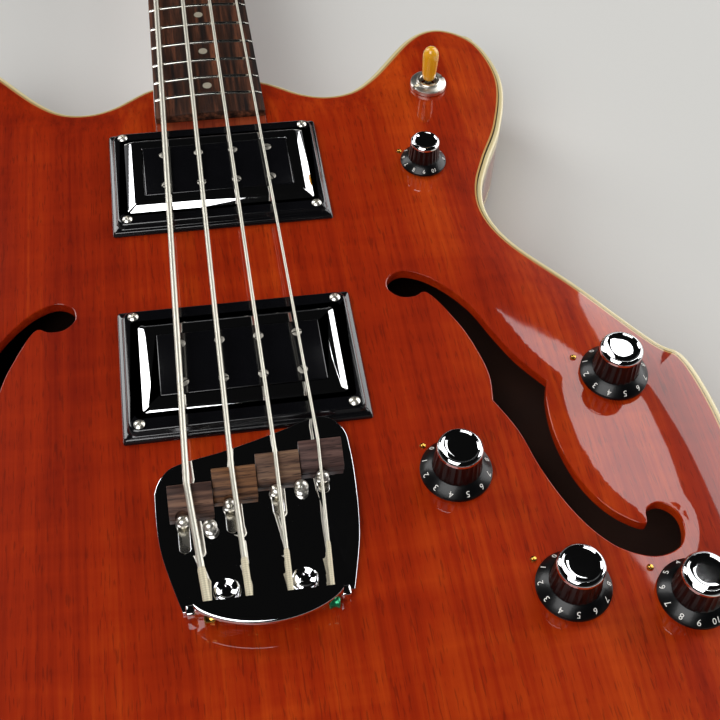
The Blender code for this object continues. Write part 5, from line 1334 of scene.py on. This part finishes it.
for index, name in enumerate(STRINGS):
    across, along = POSTS[index]
    side = -1 if across < 0 else 1
    post_frame = HEAD_FRAME @ Matrix.Translation((across, along, 0))
    bm = bmesh.new()
    lathe(bm, ((0, 0.0200), (0.0047, 0.0200), (0.0053, 0.0197), (POST_R, 0.0191), (POST_R, 0.0165), (0.0049, 0.0135),
               (0.0049, 0.0075), (POST_R, 0.0045), (POST_R, WORM_OUT + 0.0020), (0, WORM_OUT + 0.0020)), 48)
    post = to_object("post_" + name, bm, chrome)
    slotted(post, [(0, 0, 0)], 0.0011, 0.0130, 0.008, [0.6 + 0.5 * index])
    post.data.transform(post_frame)
    dress(post, "tuner_post_" + name, ["tuner_post_" + name])
    bm = bmesh.new()
    stack(bm, [gear_ring(0.0090, WORM_OUT + 0.00225, 0.0012), gear_ring(0.0090, WORM_OUT - 0.00225, 0.0012)])
    lathe(bm, ((0, WORM_OUT - 0.0040), (0.0022, WORM_OUT - 0.0038), (0.0028, WORM_OUT - 0.0030),
               (0.0028, WORM_OUT - 0.0020), (0, WORM_OUT - 0.0020)), 28)
    framed(bm, post_frame)
    piece("gear_" + name, bm, brass, "tuner_post_" + name)

    middle, worm_along = along + 0.0040, along + 0.0123
    bm = bmesh.new()
    slab(bm, [(across + px, middle + pu) for px, pu in rounded_rectangle(0.0110, 0.0190, 0.0030)],
         PLATE_BACK_FACE - 0.0016, PLATE_BACK_FACE)
    for end in (-1, 1):
        x = across + end * 0.0095
        rounded_bar(bm, (x - 0.0014, worm_along - 0.0042, WORM_OUT - 0.0042),
                    (x + 0.0014, worm_along + 0.0042, PLATE_BACK_FACE - 0.0003), 0.0008, 3)
    for px in (-1, 1):
        for pu in (-1, 1):
            lathe(bm, mm(0, -1.2, 1, -1, 1.6, -0.4, 1.8, 0.2, 0, 0.4), 20,
                  (across + 0.0078 * px, middle + 0.0155 * pu, PLATE_BACK_FACE - 0.0016))
    framed(bm, HEAD_FRAME)
    piece("tuner_base_" + name, bm, chrome, stands_for=["tuner_plate_" + name], finish="chrome")
    turned("ferrule_" + name, chrome, mm(5.6, 1.4, 7, 1.3, 8.2, 0.6, 8.5, 0.1, 5.6, 0.1, 5.6, 1.4), 40,
           frame_of=post_frame)

    low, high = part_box("tuner_button_" + name)
    reach = (high.x if side > 0 else -low.x) - abs(across)
    tip = reach - 0.0218
    frame_of = HEAD_FRAME @ Matrix.Translation((across, worm_along, WORM_OUT)) @ Matrix.Rotation(
        side * math.pi / 2, 4, "Y")
    threads = [(0.0030 if k % 2 else 0.0022, -0.0075 + 0.0150 * k / 12) for k in range(13)]
    collar = [(0.0022, tip - 0.004), (0.0034, tip - 0.002), (0.0034, tip + 0.001), (0, tip + 0.001)]
    turned("worm_" + name, chrome, [*mm(0, -11.3, 2.2, -11.3, 2.2, -7.8), *threads, (0.0022, 0.0080), *collar], 28,
           frame_of=frame_of, body="tuner_button_" + name)
    bm = bmesh.new()
    outline = rounded_rectangle(0.0115, 0.0098, 0.0050)
    stack(bm, [[(px * grow, pu * grow, z) for px, pu in outline] for grow, z in (
        (0.80, -0.0019), (0.93, -0.0025), (1.0, -0.0014), (1.0, 0.0014), (0.93, 0.0025), (0.80, 0.0019))])
    framed(bm, HEAD_FRAME @ Matrix.Translation((across + side * (tip + 0.0103), worm_along, WORM_OUT)))
    piece("paddle_" + name, bm, chrome, "tuner_button_" + name, ["tuner_button_" + name], "chrome")
print("tuners made")

# %% [markdown]
# ## Jack and strap buttons
# These are turned brass, plated. A profile of each is spun about its own axis: the jack's bush and nut look out
# of the treble side, one button sits on the tail and one under the neck's heel.

# %% Jack and strap buttons
turned("jack_bush", chrome,
       mm(3.3, -6, 3.3, 4.1, 3.6, 4.3, 5.5, 4.3, 5.8, 4, 5.8, 2.8, 7.2, 2.8, 10, 2.2, 10.9, 1.2, 11, 0.3, 5.8, 0.3,
          5.8, -6, 3.3, -6), 48, (0.20982, -0.016, 0.031), (1, 0, 0), stands_for=["output_jack"], finish="chrome")
for name, place, axis in (("strap_button_tail", (0, -0.204, 0.031), (0, -1, 0)),
                          ("strap_button_heel", (0, 0.2790, 0.020346), (0, 0, -1))):
    turned(name + "_turned", chrome,
           mm(0, 13.5, 1.4, 13.7, 1.6, 14.3, 6, 14.3, 7.6, 13.8, 8.2, 12.9, 8.1, 11.8, 7.2, 10.8, 5, 9.8, 4.2, 8.5,
              4.2, 6, 4.6, 4.5, 5.8, 2.8, 7, 1.4, 7, 0.3, 0, 0.3), 48, place, axis, stands_for=[name],
           finish="chrome")

# %% [markdown]
# ## The studio
# The gloss shows each lamp as a sharp-edged shape, so the lamps are named by where the lacquer and the chrome
# see them: one large softbox behind the camera's left shoulder, one low on each side of the neck, and a panel
# high on the right that is seen at a slant and leaves the pale wedge beside the f-hole. Together they light the
# bass from all round.

# %% Stage and light
MIDDLE_OF_BODY = Vector((0.05, 0.05, 0.06))
LAMP_AWAY = 2.4


def soft_lamp(name, place, right, up, size, glow):
    """A rectangular softbox with right and up along its sides; glow is its radiance, where white paper has 1."""
    lamp = bpy.data.lights.new(name, "AREA")
    lamp.shape = "RECTANGLE"
    lamp.size, lamp.size_y = size
    lamp.energy = glow * math.pi * size[0] * size[1]
    made = bpy.data.objects.new(name, lamp)
    made.location = place
    made.rotation_mode = "QUATERNION"
    made.rotation_quaternion = Matrix((right, up, right.cross(up))).transposed().to_quaternion()
    bpy.context.scene.collection.objects.link(made)


def softbox(name, azimuth, elevation, wide, tall, glow, lean=0.0):
    """A softbox that faces the body, by its bearing, height and apparent size in degrees."""
    azimuth, elevation = math.radians(azimuth), math.radians(elevation)
    away = Vector((math.sin(azimuth) * math.cos(elevation), math.cos(azimuth) * math.cos(elevation),
                   math.sin(elevation)))
    up = Quaternion(away, math.radians(lean)) @ (Vector((0, 0, 1)) - away * away.z).normalized()
    size = [2 * LAMP_AWAY * math.tan(math.radians(angle / 2)) for angle in (wide, tall)]
    soft_lamp(name, MIDDLE_OF_BODY + LAMP_AWAY * away, up.cross(away), up, size, glow)


softbox("key_softbox", 218, 50, 38, 40, 4.4)
softbox("left_softbox", -46, 31, 22, 38, 4.6)
softbox("right_softbox", 68, 20, 56, 40, 3.2, lean=15)
PANEL_CORNER = Vector((0.66, 1.29, 1.56))
PANEL_ALONG, PANEL_DOWN = Vector((0.66, 0.12, 0.52)), Vector((0.18, -0.76, -0.04))
soft_lamp("high_panel", PANEL_CORNER + (PANEL_ALONG + PANEL_DOWN) / 2, PANEL_DOWN.normalized(),
          PANEL_ALONG.normalized(), (PANEL_DOWN.length, PANEL_ALONG.length), 4.2)

bm = bmesh.new()
bmesh.ops.create_grid(bm, x_segments=8, y_segments=8, size=4.0)
bmesh.ops.translate(bm, vec=(0, 0.4, -0.0006), verts=bm.verts)
floor = to_object("floor", bm)
floor_paint, tree, shader = material("pale_paper_floor", "D9D8D4", 0.85)
feed(shader, {"Normal": bumped(tree, noise(tree, 1000 / 260, 3.0), 0.08, 0.0005)})
floor.data.materials.append(floor_paint)

world = bpy.data.worlds.new("studio")
bpy.context.scene.world = world
world.use_nodes = True
tree = world.node_tree
sky = tree.nodes["Background"]
up = add(tree, "ShaderNodeTexCoord", {}).outputs["Generated"]
rise = add(tree, "ShaderNodeSeparateXYZ", {"Vector": up}).outputs["Z"]
shade = add(tree, "ShaderNodeMapRange", {"Value": rise, "From Min": 0.02, "From Max": 0.34, "To Min": 0.15,
                                         "To Max": 0.004}, interpolation_type="SMOOTHSTEP").outputs["Result"]
feed(sky, {"Color": shade, "Strength": 1.0})
